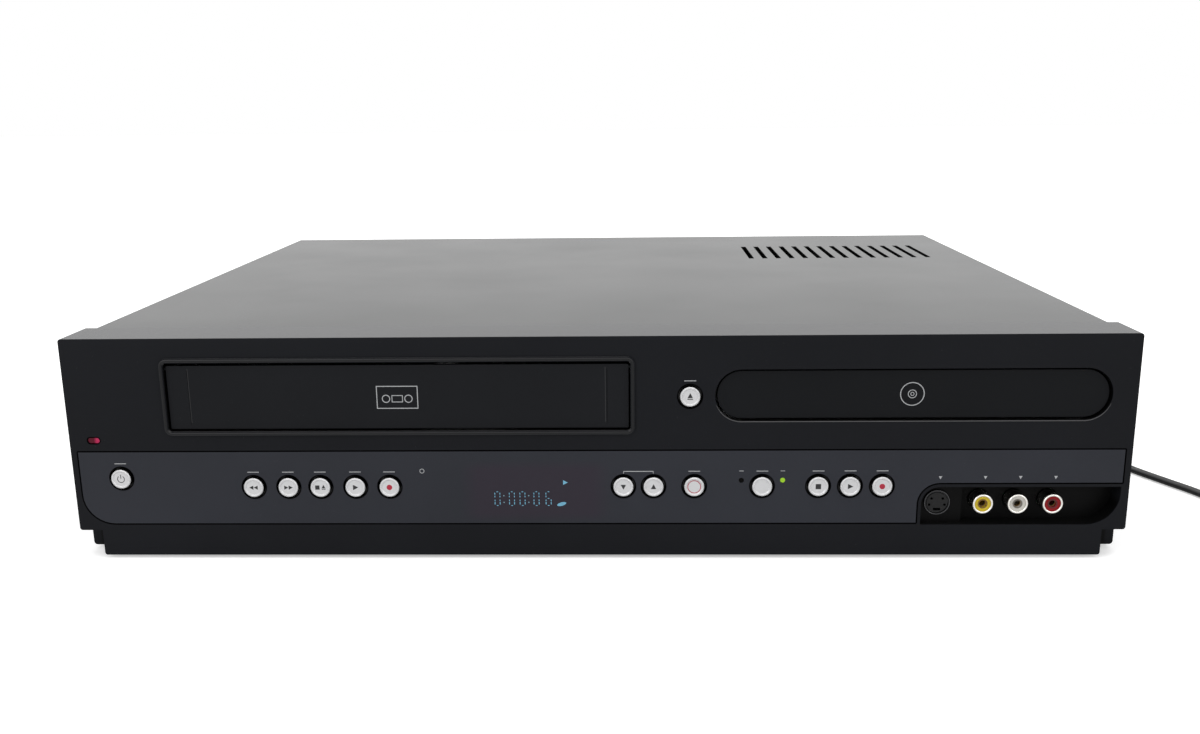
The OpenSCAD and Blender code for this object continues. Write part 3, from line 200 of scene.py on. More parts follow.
def plate(outline, centre, thick=INK_THICK, axis="front"):
    """Outline points (u, v) pushed from height 0 to thick along the axis."""
    outline = np.asarray(outline, float)
    n = len(outline)
    flat = np.concatenate([np.c_[outline, np.zeros(n)], np.c_[outline, np.full(n, thick)]]) * MM
    k = np.arange(n)
    faces = np.stack([k, (k + 1) % n, (k + 1) % n + n, k + n], axis=1).tolist()
    faces += [k[::-1].tolist(), (k + n).tolist()]
    return flat @ AXES[axis] + np.asarray(centre, float), faces


def rectangle(x0, x1, z0, z1):
    """Outline of a rectangle from its four edges."""
    return np.array([[x0, z0], [x1, z0], [x1, z1], [x0, z1]])


def bar(x0, x1, z0, z1, centre, thick=INK_THICK, axis="front"):
    """A rectangle as a plate."""
    return plate(rectangle(x0, x1, z0, z1), centre, thick, axis)


print("axes:", ", ".join(AXES))

# %% [markdown]
# ## Finishes
# A finish is more than a colour: moulded plastic has a fine spark-eroded grain, painted sheet a
# leather-like skin, zinc plate its cloudy grain. `Nodes` adds nodes to a tree, and `Finish`
# wraps one Principled shader with such patterns on Object coordinates, which are metres here,
# so a scale of 2000 means grains of half a millimetre.

# %% A finish as a small node builder
class Nodes:
    """Adds nodes to one tree. A value is a number, a tuple or another node's output."""

    def __init__(self, tree):
        self.tree = tree

    def join(self, value, socket):
        if isinstance(value, bpy.types.NodeSocket):
            self.tree.links.new(value, socket)
        else:
            socket.default_value = value

    def feed(self, node, **values):
        """Gives values to a node's inputs by their names, with _ for a space."""
        for socket, value in values.items():
            self.join(value, node.inputs[socket.replace("_", " ")])
        return node

    def node(self, kind, **values):
        return self.feed(self.tree.nodes.new("ShaderNode" + kind), **values)

    def maths(self, operation, first, second=0.0):
        made = self.node("Math", Value=first)
        made.operation = operation
        self.join(second, made.inputs[1])
        return made.outputs[0]

    def both(self, first, second):
        return self.maths("MULTIPLY", first, second)

    def between(self, value, low, high, start=0.0, end=1.0):
        """Maps a pattern's start..end to low..high."""
        return self.node("MapRange", Value=value, From_Min=start, From_Max=end,
                         To_Min=low, To_Max=high).outputs["Result"]


class Finish(Nodes):
    """One procedural material: patterns from Object coordinates into a Principled shader."""

    def __init__(self, name, colour, rough, metal=0.0, **sockets):
        self.material = bpy.data.materials.new(name)
        self.material.use_nodes = True
        super().__init__(self.material.node_tree)
        self.shader = self.tree.nodes["Principled BSDF"]
        self.place = self.node("TexCoord").outputs["Object"]
        self.set(Base_Color=(*colour, 1), Roughness=rough, Metallic=metal, **sockets)

    def set(self, **values):
        self.feed(self.shader, **values)
        return self

    def noise(self, scale, detail=2.0, vector=None):
        return self.node("TexNoise", Vector=vector or self.place, Scale=scale,
                         Detail=detail).outputs["Fac"]

    def cells(self, scale, output="Distance", distance="EUCLIDEAN"):
        made = self.node("TexVoronoi", Vector=self.place, Scale=scale)
        made.distance = distance
        return made.outputs[output]

    def mapped(self, **values):
        """Object coordinates moved by a Location or, for streaks, stretched by a Scale."""
        return self.node("Mapping", Vector=self.place, **values).outputs["Vector"]

    def axis(self, name, vector=None):
        """One coordinate of the place, or of another vector."""
        return self.node("SeparateXYZ", Vector=vector or self.place).outputs[name]

    def along(self, axis, start, end):
        """0 before start and 1 past end on one axis, in metres."""
        return self.between(self.axis(axis), 0, 1, start, end)

    def within(self, axis, reach, soft=0.001):
        """1 where the axis is nearer to zero than reach, and 0 outside."""
        return self.between(self.maths("ABSOLUTE", self.axis(axis)), 1, 0, reach - soft, reach)

    def window(self, axis, start, end, soft):
        """1 from start to end on one axis, falling to 0 over soft on both sides."""
        return self.both(self.along(axis, start - soft, start), self.along(axis, end + soft, end))

    def facing(self, axis):
        """How much of the surface's normal lies along an axis, from -1 to 1."""
        return self.axis(axis, self.node("NewGeometry").outputs["Normal"])

    def rough(self, pattern, low, high, start=0.0, end=1.0):
        """Roughness from low to high, where a pattern goes from start to end."""
        return self.set(Roughness=self.between(pattern, low, high, start, end))

    def colour(self, factor, first, second):
        """Mixes two colours by a pattern."""
        made = self.node("Mix", Factor=factor)
        made.data_type = "RGBA"
        for k, colour in ((6, first), (7, second)):  # the node's two colour inputs
            plain = not isinstance(colour, bpy.types.NodeSocket)
            self.join((*colour, 1) if plain else colour, made.inputs[k])
        return self.set(Base_Color=made.outputs[2])

    def shades(self, factor, colour, low, high):
        """A colour that a pattern varies from low to high times itself."""
        return self.colour(factor, *([min(1, c * k) for c in colour] for k in (low, high)))

    def towards(self, factor, colour):
        """Turns the colour so far into another one where the pattern is 1."""
        return self.colour(factor, self.shader.inputs["Base Color"].links[0].from_socket, colour)

    def bump(self, height, depth, strength=0.5):
        """Adds a bump under the ones already there; depth is in metres."""
        normal = self.shader.inputs["Normal"]
        made = self.node("Bump", Height=height, Strength=strength, Distance=depth)
        if normal.is_linked:
            self.join(normal.links[0].from_socket, made.inputs["Normal"])
        return self.set(Normal=made.outputs["Normal"])


def dress(finish, *nodes):
    """Gives CAD nodes a finish in place of the plain one that they came with."""
    for node in nodes:
        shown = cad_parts[node]
        shown.data.materials.clear()
        shown.data.materials.append(finish.material)


# %% [markdown]
# ## Moulded and painted black
# Most of what one sees is black, so the blacks have to differ. The front moulding is a deep
# black with a fine grain and smoother upward faces, the control strip a lighter smoked plastic,
# and the steel cover carries a semi-gloss paint with a leather-like skin. Each takes a slow
# change of gloss over centimetres, as handling leaves, and a few specks of dust.

# %% Blacks
GAP_BLACK = (0.0012, 0.0012, 0.0013)


def moulded(name, colour, rough, grain, depth, specular=0.3, dust=0.06):
    """Moulded plastic: grain as bump, slow gloss change, rare paler specks."""
    made = Finish(name, colour, rough, Specular_IOR_Level=specular)
    slow = made.noise(14, 3)
    made.rough(slow, rough - 0.015, rough + 0.02, 0.3, 0.7)
    made.bump(made.noise(grain, 3), depth)
    made.shades(made.between(slow, 0, 1, 0.35, 0.65), colour, 0.92, 1.1)
    speck = made.between(made.noise(900, 1), 0, dust, 0.76, 0.82)
    return made.towards(speck, [c + 0.12 for c in colour])


def dark_behind(finish, y, inside=None):
    """Past depth y the colour falls to near black, as no light reaches into a gap."""
    deep = finish.along("Y", y, y + 0.0003)
    return finish.towards(deep if inside is None else finish.both(deep, inside), GAP_BLACK)


face_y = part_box("control_panel")[0][1]
front_black = moulded("front_black", (0.0076, 0.0082, 0.0103), 0.5, 2600, 0.00003, 0.1)
upward = front_black.between(front_black.facing("Z"), 0, 0.68, 0.5, 0.9)
front_black.set(Coat_Weight=upward, Coat_Roughness=0.22)
inside_rim = front_black.both(front_black.within("X", 0.2145), front_black.within("Z", 0.0925))
dark_behind(front_black, face_y + 0.0003, inside_rim)
door_black = moulded("door_black", (0.0084, 0.009, 0.0108), 0.45, 3200, 0.00002, 0.1)
dark_behind(door_black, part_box("cassette_door")[0][1] + 0.0004)
tray_black = moulded("tray_black", (0.0058, 0.0064, 0.0077), 0.45, 3200, 0.00002, 0.1)
dark_behind(tray_black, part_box("tray_front")[0][1] + 0.0004)
strip_smoke = moulded("strip_smoke", (0.0215, 0.0232, 0.0305), 0.42, 3200, 0.00002, 0.2)
warm_patch = strip_smoke.both(strip_smoke.window("X", -0.048, -0.001, 0.008),
                              strip_smoke.window("Z", 0.02, 0.039, 0.004))
strip_smoke.towards(strip_smoke.between(warm_patch, 0, 0.75), (0.0265, 0.0195, 0.0305))
dark_behind(strip_smoke, face_y + 0.0001)
inner_black = moulded("inner_black", (0.012, 0.012, 0.013), 0.5, 2400, 0.00004)
cover_paint = moulded("cover_paint", (0.012, 0.0135, 0.0135), 0.24, 1500, 0.00002, 0.34)
cover_paint.bump(cover_paint.cells(1100), 0.00002, 0.3)
rear_paint = moulded("rear_paint", (0.02, 0.0205, 0.021), 0.45, 2000, 0.00004, 0.4)
dress(front_black, "front_panel")
dress(door_black, "cassette_door")
dress(tray_black, "tray_front")
dress(strip_smoke, "control_panel")
dress(cover_paint, "top_cover")
dress(rear_paint, "rear_panel")
dress(moulded("socket_black", (0.004, 0.004, 0.0045), 0.4, 3000, 0.00002), "svideo_socket")
dress(inner_black, "fan_frame", "fan_rotor", "disc_tray", "turntable", "disc_clamp",
      "laser_pickup", "supply_reel", "take_up_reel", "rear_jacks", "key_switches")
print("blacks:", len(bpy.data.materials))

# %% [markdown]
# ## Metals
# Zinc-plated sheet is cloudy, with grains of a few millimetres that catch the light one by one.
# Turned metal shows rings about its own axis, which a wave on the distance from that axis gives.
# Nickel on the jacks is nearly a mirror. Metallic is 1 for all, and the colour is the metal's.

# %% Metals
def plated(name, colour, rough):
    """Zinc sheet: large Voronoi grains change colour and gloss, rolled lines lie along X."""
    made = Finish(name, colour, rough, 1.0)
    tone = made.node("SeparateColor", Color=made.cells(160, "Color")).outputs[0]
    made.shades(tone, colour, 0.86, 1)
    made.rough(tone, rough - 0.06, rough + 0.08)
    return made.bump(made.noise(1, 2, made.mapped(Scale=(60, 2500, 2500))), 0.00002, 0.3)


def polished(name, colour, rough):
    """Nickel plate: faint smears in the gloss and a very fine ripple."""
    made = Finish(name, colour, rough, 1.0)
    made.rough(made.noise(220, 3), rough - 0.04, rough + 0.1, 0.3, 0.7)
    return made.bump(made.noise(700, 2), 0.00001, 0.3)


def turned(name, colour, rough, centre):
    """Lathe lines: a ring wave of the distance from an upright axis."""
    made = Finish(name, colour, rough, 1.0)
    centred = made.mapped(Location=(-centre[0], -centre[1], 0))
    wave = made.node("TexWave", Vector=centred, Scale=900.0, Distortion=0.6)
    wave.wave_type = "RINGS"
    wave.rings_direction = "Z"
    made.rough(wave.outputs["Fac"], rough - 0.05, rough + 0.08)
    return made.bump(wave.outputs["Fac"], 0.00001, 0.35)


def middle(node):
    """The middle of a node's box."""
    return np.mean(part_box(node), axis=0)


zinc = plated("zinc", (0.62, 0.63, 0.64), 0.36)
nickel = polished("nickel", (0.72, 0.7, 0.66), 0.16)
drum_metal = turned("drum_metal", (0.78, 0.78, 0.8), 0.2, middle("head_drum"))
screw_steel = polished("screw_steel", (0.1, 0.1, 0.105), 0.35)
dress(zinc, "base_chassis", "deck_chassis", "cassette_carriage", "disc_drive_case",
      "pickup_rails")
dress(nickel, "jack_shells", "aerial_jacks", "capstan")
dress(drum_metal, "head_drum", "lower_drum")
dress(screw_steel, "cover_screws")
print("drum axis at", np.round(middle("head_drum")[:2] / MM, 1), "mm")

# %% [markdown]
# ## Small coloured plastics
# The button caps carry a pale silver lacquer with a fine metallic flake: a little metal in the
# shader and a sparkle in its gloss. Half a millimetre behind the cap's face the colour falls to
# near black: painted shade on the cap's sides and the bare black of the shank behind, which
# keeps the wells dark. The jack inserts are glossy yellow, white and red, and the loading gear is
# milky acetal.

# %% Coloured plastics
def lacquer(name, colour, rough):
    """Silver lacquer: flakes vary the tone a little, the surface stays smooth."""
    made = Finish(name, colour, rough, 0.25, Specular_IOR_Level=0.5)
    flakes = made.noise(4200, 1)
    made.shades(flakes, colour, 0.94, 1.05)
    made.rough(made.noise(90, 2), rough - 0.05, rough + 0.06)
    return made.bump(flakes, 0.00001, 0.15)


def glossy(name, colour, rough=0.25, glow=0.0, specular=0.5):
    """Smooth moulded colour with a faint flow pattern; glow lights it from inside."""
    made = Finish(name, colour, rough, Specular_IOR_Level=specular)
    flow = made.noise(120, 2)
    made.shades(flow, colour, 0.9, 1.08)
    made.rough(flow, rough - 0.06, rough + 0.08)
    if glow:
        made.set(Emission_Color=(*colour, 1), Emission_Strength=glow)
    return made.bump(made.noise(1800, 2), 0.00001, 0.3)


silver = lacquer("silver", (0.66, 0.66, 0.67), 0.34)
buttons = [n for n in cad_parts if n.endswith("_button")]
cap_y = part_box("power_button")[0][1]
# painted shade: past half a millimetre behind the cap's face the lacquer turns near black
silver.towards(silver.along("Y", cap_y + 0.0005, cap_y + 0.0006), (0.006,) * 3)
dress(silver, *buttons)
dress(glossy("insert_yellow", (0.64, 0.47, 0.005)), "video_insert")
dress(glossy("insert_white", (0.62, 0.6, 0.55)), "audio_left_insert")
dress(glossy("insert_red", (0.27, 0.001, 0.004), 0.35, specular=0.25), "audio_right_insert")
lamp_red = glossy("lamp_red", (0.2, 0.007, 0.03), 0.16, glow=0.12, specular=0.15)
lamp_low, lamp_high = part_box("power_lamp")
# painted highlight: the lens runs from dark red on the left to bright pink on the right
lamp_red.colour(lamp_red.along("X", lamp_low[0] + 0.0024, lamp_high[0] - 0.0012),
                (0.07, 0.004, 0.012), (0.5, 0.025, 0.1))
dress(lamp_red, "power_lamp")
dress(moulded("lamp_dark", (0.0015, 0.0015, 0.0015), 0.3, 3000, 0.00001, 0.05), "tape_lamp")
dress(glossy("lamp_green", (0.23, 0.43, 0.004), 0.2, glow=0.4), "disc_lamp")
dress(glossy("acetal", (0.72, 0.71, 0.66), 0.4), "loading_gear")
print("buttons:", len(buttons))

# %% [markdown]
# ## Rubber, boards and glass
# Feet, pinch roller and mains lead are dull black rubber or vinyl with a soft, slightly chalky
# skin. A printed board is green lacquer over copper: a Voronoi pattern with straight Manhattan
# cells stands for its tracks, darker between them. Its components are told apart by height.

# %% Rubber, boards and glass
def rubbery(name, colour, rough):
    """Rubber or vinyl: a chalky pattern makes it paler and duller in places."""
    made = Finish(name, colour, rough, Specular_IOR_Level=0.35)
    chalk = made.noise(160, 4)
    made.shades(made.between(chalk, 0, 1, 0.45, 0.75), colour, 1, 1.7)
    made.rough(chalk, rough - 0.08, rough + 0.1)
    return made.bump(made.noise(1400, 3), 0.00003)


def board(name, lacquer_colour, track_colour):
    """Printed board: Manhattan Voronoi edges are the gaps between copper tracks."""
    made = Finish(name, lacquer_colour, 0.35, Specular_IOR_Level=0.5)
    tone = made.between(made.cells(260, distance="MANHATTAN"), 0, 1, 0.5, 0.56)
    made.colour(tone, track_colour, lacquer_colour)
    return made.bump(tone, 0.00003, 0.3)


def fitted(finish, body, board_top=0.0151):
    """Components: their own colour above the board, with bright tops on the tall ones."""
    finish.towards(finish.along("Z", board_top + 0.0002, board_top + 0.0003), body)
    tall = finish.both(finish.along("Z", board_top + 0.008, board_top + 0.0081),
                       finish.between(finish.facing("Z"), 0, 1, 0.9, 0.95))
    return finish.towards(tall, (0.2, 0.205, 0.21))


green_board = (0.01, 0.06, 0.025), (0.02, 0.11, 0.045)
tan_board = (0.3, 0.19, 0.08), (0.36, 0.24, 0.11)
rubber = rubbery("rubber", (0.018, 0.018, 0.018), 0.7)
vinyl = rubbery("vinyl", (0.011, 0.011, 0.0115), 0.42)
dress(rubber, "feet", "pinch_roller", "cord_bushing")
dress(vinyl, "cord_plug")
dress(board("board_green", *green_board), "key_board", "jack_board")
dress(fitted(board("main_green", *green_board), (0.012, 0.012, 0.013)), "main_board")
dress(fitted(board("board_tan", *tan_board), (0.02, 0.02, 0.022)), "power_board")
dress(glossy("tube_glass", (0.02, 0.024, 0.028), 0.08), "display_tube")
print("finishes so far:", len(bpy.data.materials))

# %% [markdown]
# ## Mains lead
# The lead is a flat twin cable, two cores side by side with a groove between them. It leaves the
# strain relief at the back, drops to the table, runs forward beside the player and is stored in
# a tied coil outside the picture, with its plug beside the coil. The route's points are the
# CAD model's own, in millimetres. A smooth Catmull-Rom curve goes through them, on to the coil's
# two layers of turns and along the tail to the plug.

# %% The lead's path
lead_width, lead_thick = 5.4, 2.8
lower_layer, upper_layer = 1.5, 4.4
down = [[190, 192, 25.5], [190, 200, 25], [190.5, 208, 23], [192, 216, 19], [194.5, 224, 13.5],
        [198, 231, 8], [203, 237, 3.8], [209, 241, 1.7]]
level = [[217, 242.5], [225, 240.5], [232, 235.5], [237.5, 228.5], [241, 220], [243, 208],
         [244, 193], [244.5, 175], [245, 155], [245.5, 133], [246, 110], [247, 86], [248.5, 61],
         [250.5, 36], [252.5, 11], [255, -13], [260, -38], [267.5, -62], [276, -81],
         [283.5, -97], [289.6, -115.8]]
route = np.array(down + [[x, y, lower_layer] for x, y in level])
coil_middle = np.array([330.0, -135.0])
coil_outer, coil_inner, coil_turns = 39.8, 21.6, 3.25
plug_at = np.array([290.2, -186.0, 6.0])
tail = plug_at + [[0, 29.5, -1.6], [0, 22, -1.7], [0, 14, -1.2], [0, 6, -0.2], [0, 0, 0]]


def coil_points(per_turn=36):
    """The radius falls in the lower layer and rises in the upper; the angle always grows."""
    leg, climb = int(coil_turns * per_turn), per_turn // 2
    radius = np.concatenate([np.linspace(coil_outer, coil_inner, leg), np.full(climb, coil_inner),
                             np.linspace(coil_inner, coil_outer, leg)])
    height = np.concatenate([np.full(leg, lower_layer),
                             np.linspace(lower_layer, upper_layer, climb),
                             np.full(leg, upper_layer)])
    angle = np.pi + np.linspace(0, 2 * np.pi * (2 * coil_turns + 0.5), len(radius))
    return np.stack([coil_middle[0] + radius * np.cos(angle),
                     coil_middle[1] + radius * np.sin(angle), height], axis=1)


def smooth_path(points, steps=4):
    """Catmull-Rom: between two points the curve is a cubic of them and their neighbours."""
    p = np.concatenate([[2 * points[0] - points[1]], points, [2 * points[-1] - points[-2]]])
    t = np.linspace(0, 1, steps, endpoint=False)[None, :, None]
    a, b, c, d = (p[k:len(p) - 3 + k][:, None, :] for k in range(4))
    curve = 0.5 * (2 * b + (c - a) * t + (2 * a - 5 * b + 4 * c - d) * t**2
                   + (3 * b - a - 3 * c + d) * t**3)
    return np.concatenate([curve.reshape(-1, 3), points[-1:]])


coil = coil_points()
lead_path = np.concatenate([smooth_path(np.concatenate([route, coil[:2]]))[:-5], coil,
                            smooth_path(np.concatenate([coil[-1:], tail]))[1:]]) * MM

# %% [markdown]
# The section is swept along that path. At each point the flat side stays level: the sideways
# direction is the path's direction crossed with Z, and the third follows from both.

# %% The lead itself
def twin_section(n=20):
    """Two joined cores: width w/2 cos a, thickness t/2 |sin a|^0.7, less a groove between."""
    a = angles(n)
    across = lead_width / 2 * np.cos(a)
    high = np.sign(np.sin(a)) * (lead_thick / 2 * np.abs(np.sin(a)) ** 0.7
                                 - 0.35 * np.exp(-(across / 0.6) ** 2))
    return across * MM, high * MM


def swept(path, across, high):
    """Point = path + sideways * across + upward * high, at each point of path and section."""
    along = np.gradient(path, axis=0)
    along /= np.linalg.norm(along, axis=1)[:, None]
    side = np.cross(along, [0, 0, 1])
    side /= np.linalg.norm(side, axis=1)[:, None]
    above = np.cross(side, along)
    points = path[:, None] + side[:, None] * across[:, None] + above[:, None] * high[:, None]
    return points, tube_faces(len(path), len(across))


def coil_tie(n=40, half_wide=4.5):
    """A strap round the coil's section: a rounded rectangle, inside and outside."""
    section_r, section_z, reach_r, reach_z = 30.7, 3.25, 12.0, 2.9
    across, high = rounded(angles(n), 0.35)
    inner, outer = (np.stack([section_r + (reach_r + grow) * across, 0 * across,
                              section_z + (reach_z + grow * 0.4) * high], axis=1)
                    for grow in (0.1, 0.7))
    shift = np.array([0, half_wide, 0])
    rings = np.stack([inner - shift, outer - shift, outer + shift, inner + shift], axis=1)
    points = rings.reshape(-1, 3) + (*coil_middle, 0)
    return points * MM, sheet_faces(n, 4, join_rows=True, join_cols=True)[:, ::-1]


lead_shape = swept(lead_path, *twin_section())
mains_lead = part("mains_lead", [lead_shape], vinyl, smooth=True)
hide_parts("power_cord", "cord_coil")
tie = part("coil_tie", [coil_tie()], rubber, smooth=True)
print("tie over", coil_middle)

# %% [markdown]
# ## Places on the front
# Details on the front are placed in millimetres from the middle and from the lower edge, as on
# a drawing. `at` turns such a place into a point of the room, with a depth counted backwards
# from the front face, and `on_front` finds a node's own place.

# %% Places on the front
low_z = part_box("front_panel")[0][2]


def at(x, z, depth=0.0):
    """A room point from a place on the front and a depth behind it."""
    return np.array([x * MM, face_y + depth * MM, low_z + z * MM])


def on_front(node):
    """The place on the front of a node's middle."""
    x, _, z = middle(node)
    return x / MM, (z - low_z) / MM


def line(x0, x1, z0, z1, depth=0.0, thick=INK_THICK):
    """A thin bar that faces the front."""
    return bar(x0, x1, z0, z1, at(0, 0, depth), thick)


def proud(flat, out):
    """Room points of places (x, z) on the front, standing out of it by so much."""
    out = np.broadcast_to(out, flat.shape[:2])
    return np.stack([flat[..., 0] * MM, face_y - out * MM, low_z + flat[..., 1] * MM], axis=2)


print("front face at", round(face_y / MM, 2), "mm, lower edge at", round(low_z / MM, 2), "mm")

# %% [markdown]
# ## Bead round the cassette opening
# A half-round bead frames the cassette opening; a painted highlight makes its upper and lower
# faces lighter than its sides.
# It is a profile carried along a path with rounded corners. At a corner the profile's outward
# direction turns with the path, so one formula gives every ring: place = path + outward * u -
# forward * v. The same functions draw the shadow lines round the control strip and the lamp.

# %% Bead round the cassette opening
def traced_path(corners, n=10):
    """Path and outward directions round right-angled corners (x, z, r), anticlockwise.

    With directions d0 into a corner and d1 out of it, the arc's middle is corner + r (d1 - d0)
    and its points are middle + r (d0 sin t - d1 cos t). A right turn points its outside inward.
    """
    corners = np.asarray(corners, float)
    place, r = corners[:, :2], corners[:, 2, None, None]
    ahead = place - np.roll(place, 1, axis=0)
    d0 = ahead / np.linalg.norm(ahead, axis=1, keepdims=True)
    d1 = np.roll(d0, -1, axis=0)
    turn = np.sign(d0[:, 0] * d1[:, 1] - d0[:, 1] * d1[:, 0])[:, None, None]
    t = np.linspace(0, np.pi / 2, n)[None, :, None]
    arc = d0[:, None] * np.sin(t) - d1[:, None] * np.cos(t)
    points = place[:, None] + r * (d1 - d0)[:, None] + r * arc
    return points.reshape(-1, 2), (arc * turn).reshape(-1, 2)


def ridge(path, out, profile):
    """Sweeps a profile (outward, proud) round a closed path on the front face."""
    u, v = np.asarray(profile, float).T
    flat = path[:, None] + out[:, None] * u[:, None]
    return proud(flat, v), sheet_faces(len(path), len(u), join_rows=True, join_cols=True)


def round_box(x0, x1, z0, z1, radius):
    """Path round a rectangle with equal corners."""
    return traced_path([(x, z, radius) for x, z in rectangle(x0, x1, z0, z1)])


def shadow_line(name, path, half, depth):
    """A dark band in a gap, half to each side of the path."""
    band = ridge(*path, [(half, -depth), (half, 0.01), (-half, 0.01), (-half, -depth)])
    part(name, [band], shadow)


bead_x, bead_z = (-176.25, 15.65), (53.25, 84.05)  # half its width outside the opening
arch = np.linspace(0, np.pi, 12)
bead_profile = [*np.stack([0.95 * np.cos(arch), 0.06 + 0.92 * np.sin(arch)], axis=1),
                (-0.95, -0.3), (0.95, -0.3)]
bead_path = round_box(*bead_x, *bead_z, 2.4)
bead_satin_painted_light = moulded("bead_satin_painted_light", (0.008, 0.0085, 0.0095), 0.42, 3200, 0.00002, 0.2)
# painted highlight: faces that point up or down turn lighter than the bead's sides
level = bead_satin_painted_light.maths("ABSOLUTE", bead_satin_painted_light.facing("Z"))
bead_satin_painted_light.towards(bead_satin_painted_light.between(level, 0, 1, 0.15, 0.7), (0.036, 0.036, 0.038))
part("bay_bead", [ridge(*bead_path, bead_profile)], bead_satin_painted_light, smooth=True)
shadow = moulded("shadow", GAP_BLACK, 0.9, 2400, 0.00002, specular=0.0, dust=0)
edge_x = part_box("control_panel")[1][0] / MM + 0.2
edge_low, edge_step, edge_high, jack_edge = 13.8, 31.0, 45.6, edge_x - 82.6
groove = [(-edge_x, edge_low, 12.8), (jack_edge, edge_low, 0.3), (jack_edge, edge_step, 8.9),
          (edge_x, edge_step, 0.3), (edge_x, edge_high, 0.3), (-edge_x, edge_high, 0.3)]
shadow_line("strip_shadow", traced_path(groove), 0.3, 0.4)
lamp_x, lamp_z = on_front("power_lamp")
lamp_gap = round_box(lamp_x - 2.7, lamp_x + 2.7, lamp_z - 1.4, lamp_z + 1.4, 1.35)
shadow_line("lamp_shadow", lamp_gap, 0.22, 0.2)
print("bead:", len(bead_path[0]), "steps, lamp at", round(lamp_x), round(lamp_z))

# %% [markdown]
# ## Lip of the tray's slot and lines on the door
# The lower edge of the tray's slot is rolled over, and its tube is painted a paler grey than the
# moulding: a painted highlight for the hair of light it shows. Its path is the lower half of a
# stadium: two arcs joined by a straight, and the tube on it thins out to nothing at both ends.
# On the door, a raised hair line beside each moulded groove is painted a little lighter than the
# door: a painted highlight. Behind the door's upper edge and sides narrow bars in the shadow
# finish are painted shade that keeps the works out of sight.

# %% Lip and hair lines
def lip(x, z, w, h, radius, n=40, around=10):
    """Tube of radius r sin^0.5(t) along a stadium's lower half, from one arc to the other."""
    sweep = np.radians(np.linspace(200, 270, n))
    left = np.stack([np.cos(sweep), np.sin(sweep)], axis=1)
    out = np.concatenate([left, left[::-1] * (-1, 1)])
    reach = (w - h) / 2
    path = np.repeat([[x - reach, z], [x + reach, z]], n, axis=0) + h / 2 * out
    size = radius * np.sin(np.linspace(0.05, np.pi - 0.05, 2 * n))[:, None] ** 0.5
    a = angles(around)
    flat = path[:, None] + out[:, None] * (size * np.cos(a))[..., None]
    return proud(flat, 0.6 * size * np.sin(a)), sheet_faces(2 * n, around, join_cols=True)


# painted highlight: the lip is ten times paler than the tray's black
lip_satin_painted_highlight = moulded("lip_satin_painted_highlight", (0.06, 0.06, 0.062), 0.35, 3200, 0.00001, specular=0.5)
tray_x, tray_z = 128.2, 68.55
part("slot_lip", [lip(tray_x, tray_z, 159.0, 22.0, 0.2)], lip_satin_painted_highlight, smooth=True)
# painted shade: black bars in the shadow finish fill the gaps behind the door's edges
shade_bars = (-175.2, 14.6, 81.9, 83.15), (-175.35, -174.7, 55, 77), (14.1, 14.75, 55, 77)
part("door_shade_bars", [line(*b, 3.2, 0.15) for b in shade_bars], shadow)
# painted highlight: the hair lines are twice as pale as the door's black
hair_black = moulded("hair_black", (0.017, 0.0175, 0.019), 0.4, 3200, 0.00001)
part("door_hair_lines", [line(x, x + 0.3, 57.5, 80.5, 0.8, 0.03) for x in (-165.9, 4.4)],
     hair_black, "cassette_door")
print("baffles:", len(shade_bars))

# %% [markdown]
# ## Symbols on the buttons
# Transport symbols are international: triangles for running, a square for stop, a disc for
# record. Each is a thin plate of ink that lies in its cap's dish and rides on that button, so
# it moves in when the button is pressed.

# %% Button symbols
dark_ink_and_shade = glossy("dark_ink_and_shade", (0.014, 0.014, 0.016), 0.5)
ink_grey = glossy("ink_grey", (0.03, 0.03, 0.034), 0.5)
ink_red = glossy("ink_red", (0.42, 0.008, 0.035), 0.45)
ink_pale = glossy("ink_pale", (0.42, 0.43, 0.44), 0.5)
DISH = 0.35


def triangle(x, z, size, heading):
    """An even-looking triangle about (x, z) that points right, left, up or down."""
    a = {"right": 0, "up": np.pi / 2, "left": np.pi, "down": -np.pi / 2}[heading]
    corners = np.array([[1.0, 0], [-0.8, 0.95], [-0.8, -0.95]]) * size
    spin = np.array([[np.cos(a), np.sin(a)], [-np.sin(a), np.cos(a)]])
    return corners @ spin + (x, z)


SYMBOLS = {
    "rewind": [triangle(-0.9, 0, 0.93, "left"), triangle(0.95, 0, 0.93, "left")],
    "fast_forward": [triangle(-0.95, 0, 0.93, "right"), triangle(0.9, 0, 0.93, "right")],
    "tape_stop_eject": [rectangle(-2.15, -0.35, -0.9, 0.9), triangle(1.3, 0.3, 0.85, "up"),
                        rectangle(0.5, 2.1, -0.9, -0.65)],
    "tape_play": [triangle(0, 0, 1.2, "right")],
    "tape_record": [disc(1.15)],
    "tray": [triangle(0, 0.4, 1.15, "up"), rectangle(-1.1, 1.1, -1.2, -0.85)],
    "channel_down": [triangle(0, 0, 1.15, "down")],
    "channel_up": [triangle(0, 0, 1.15, "up")],
    "disc_stop": [rectangle(-1.1, 1.1, -1.1, 1.1)],
    "disc_play": [triangle(0, 0, 1.2, "right")],
    "disc_record": [disc(1.15)],
}


def dish_of(node, depth=DISH):
    """The middle of a cap's dish: the box's middle in X and Z, its front plus the depth."""
    place = middle(node)
    place[1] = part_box(node)[0][1] + depth * MM
    return place


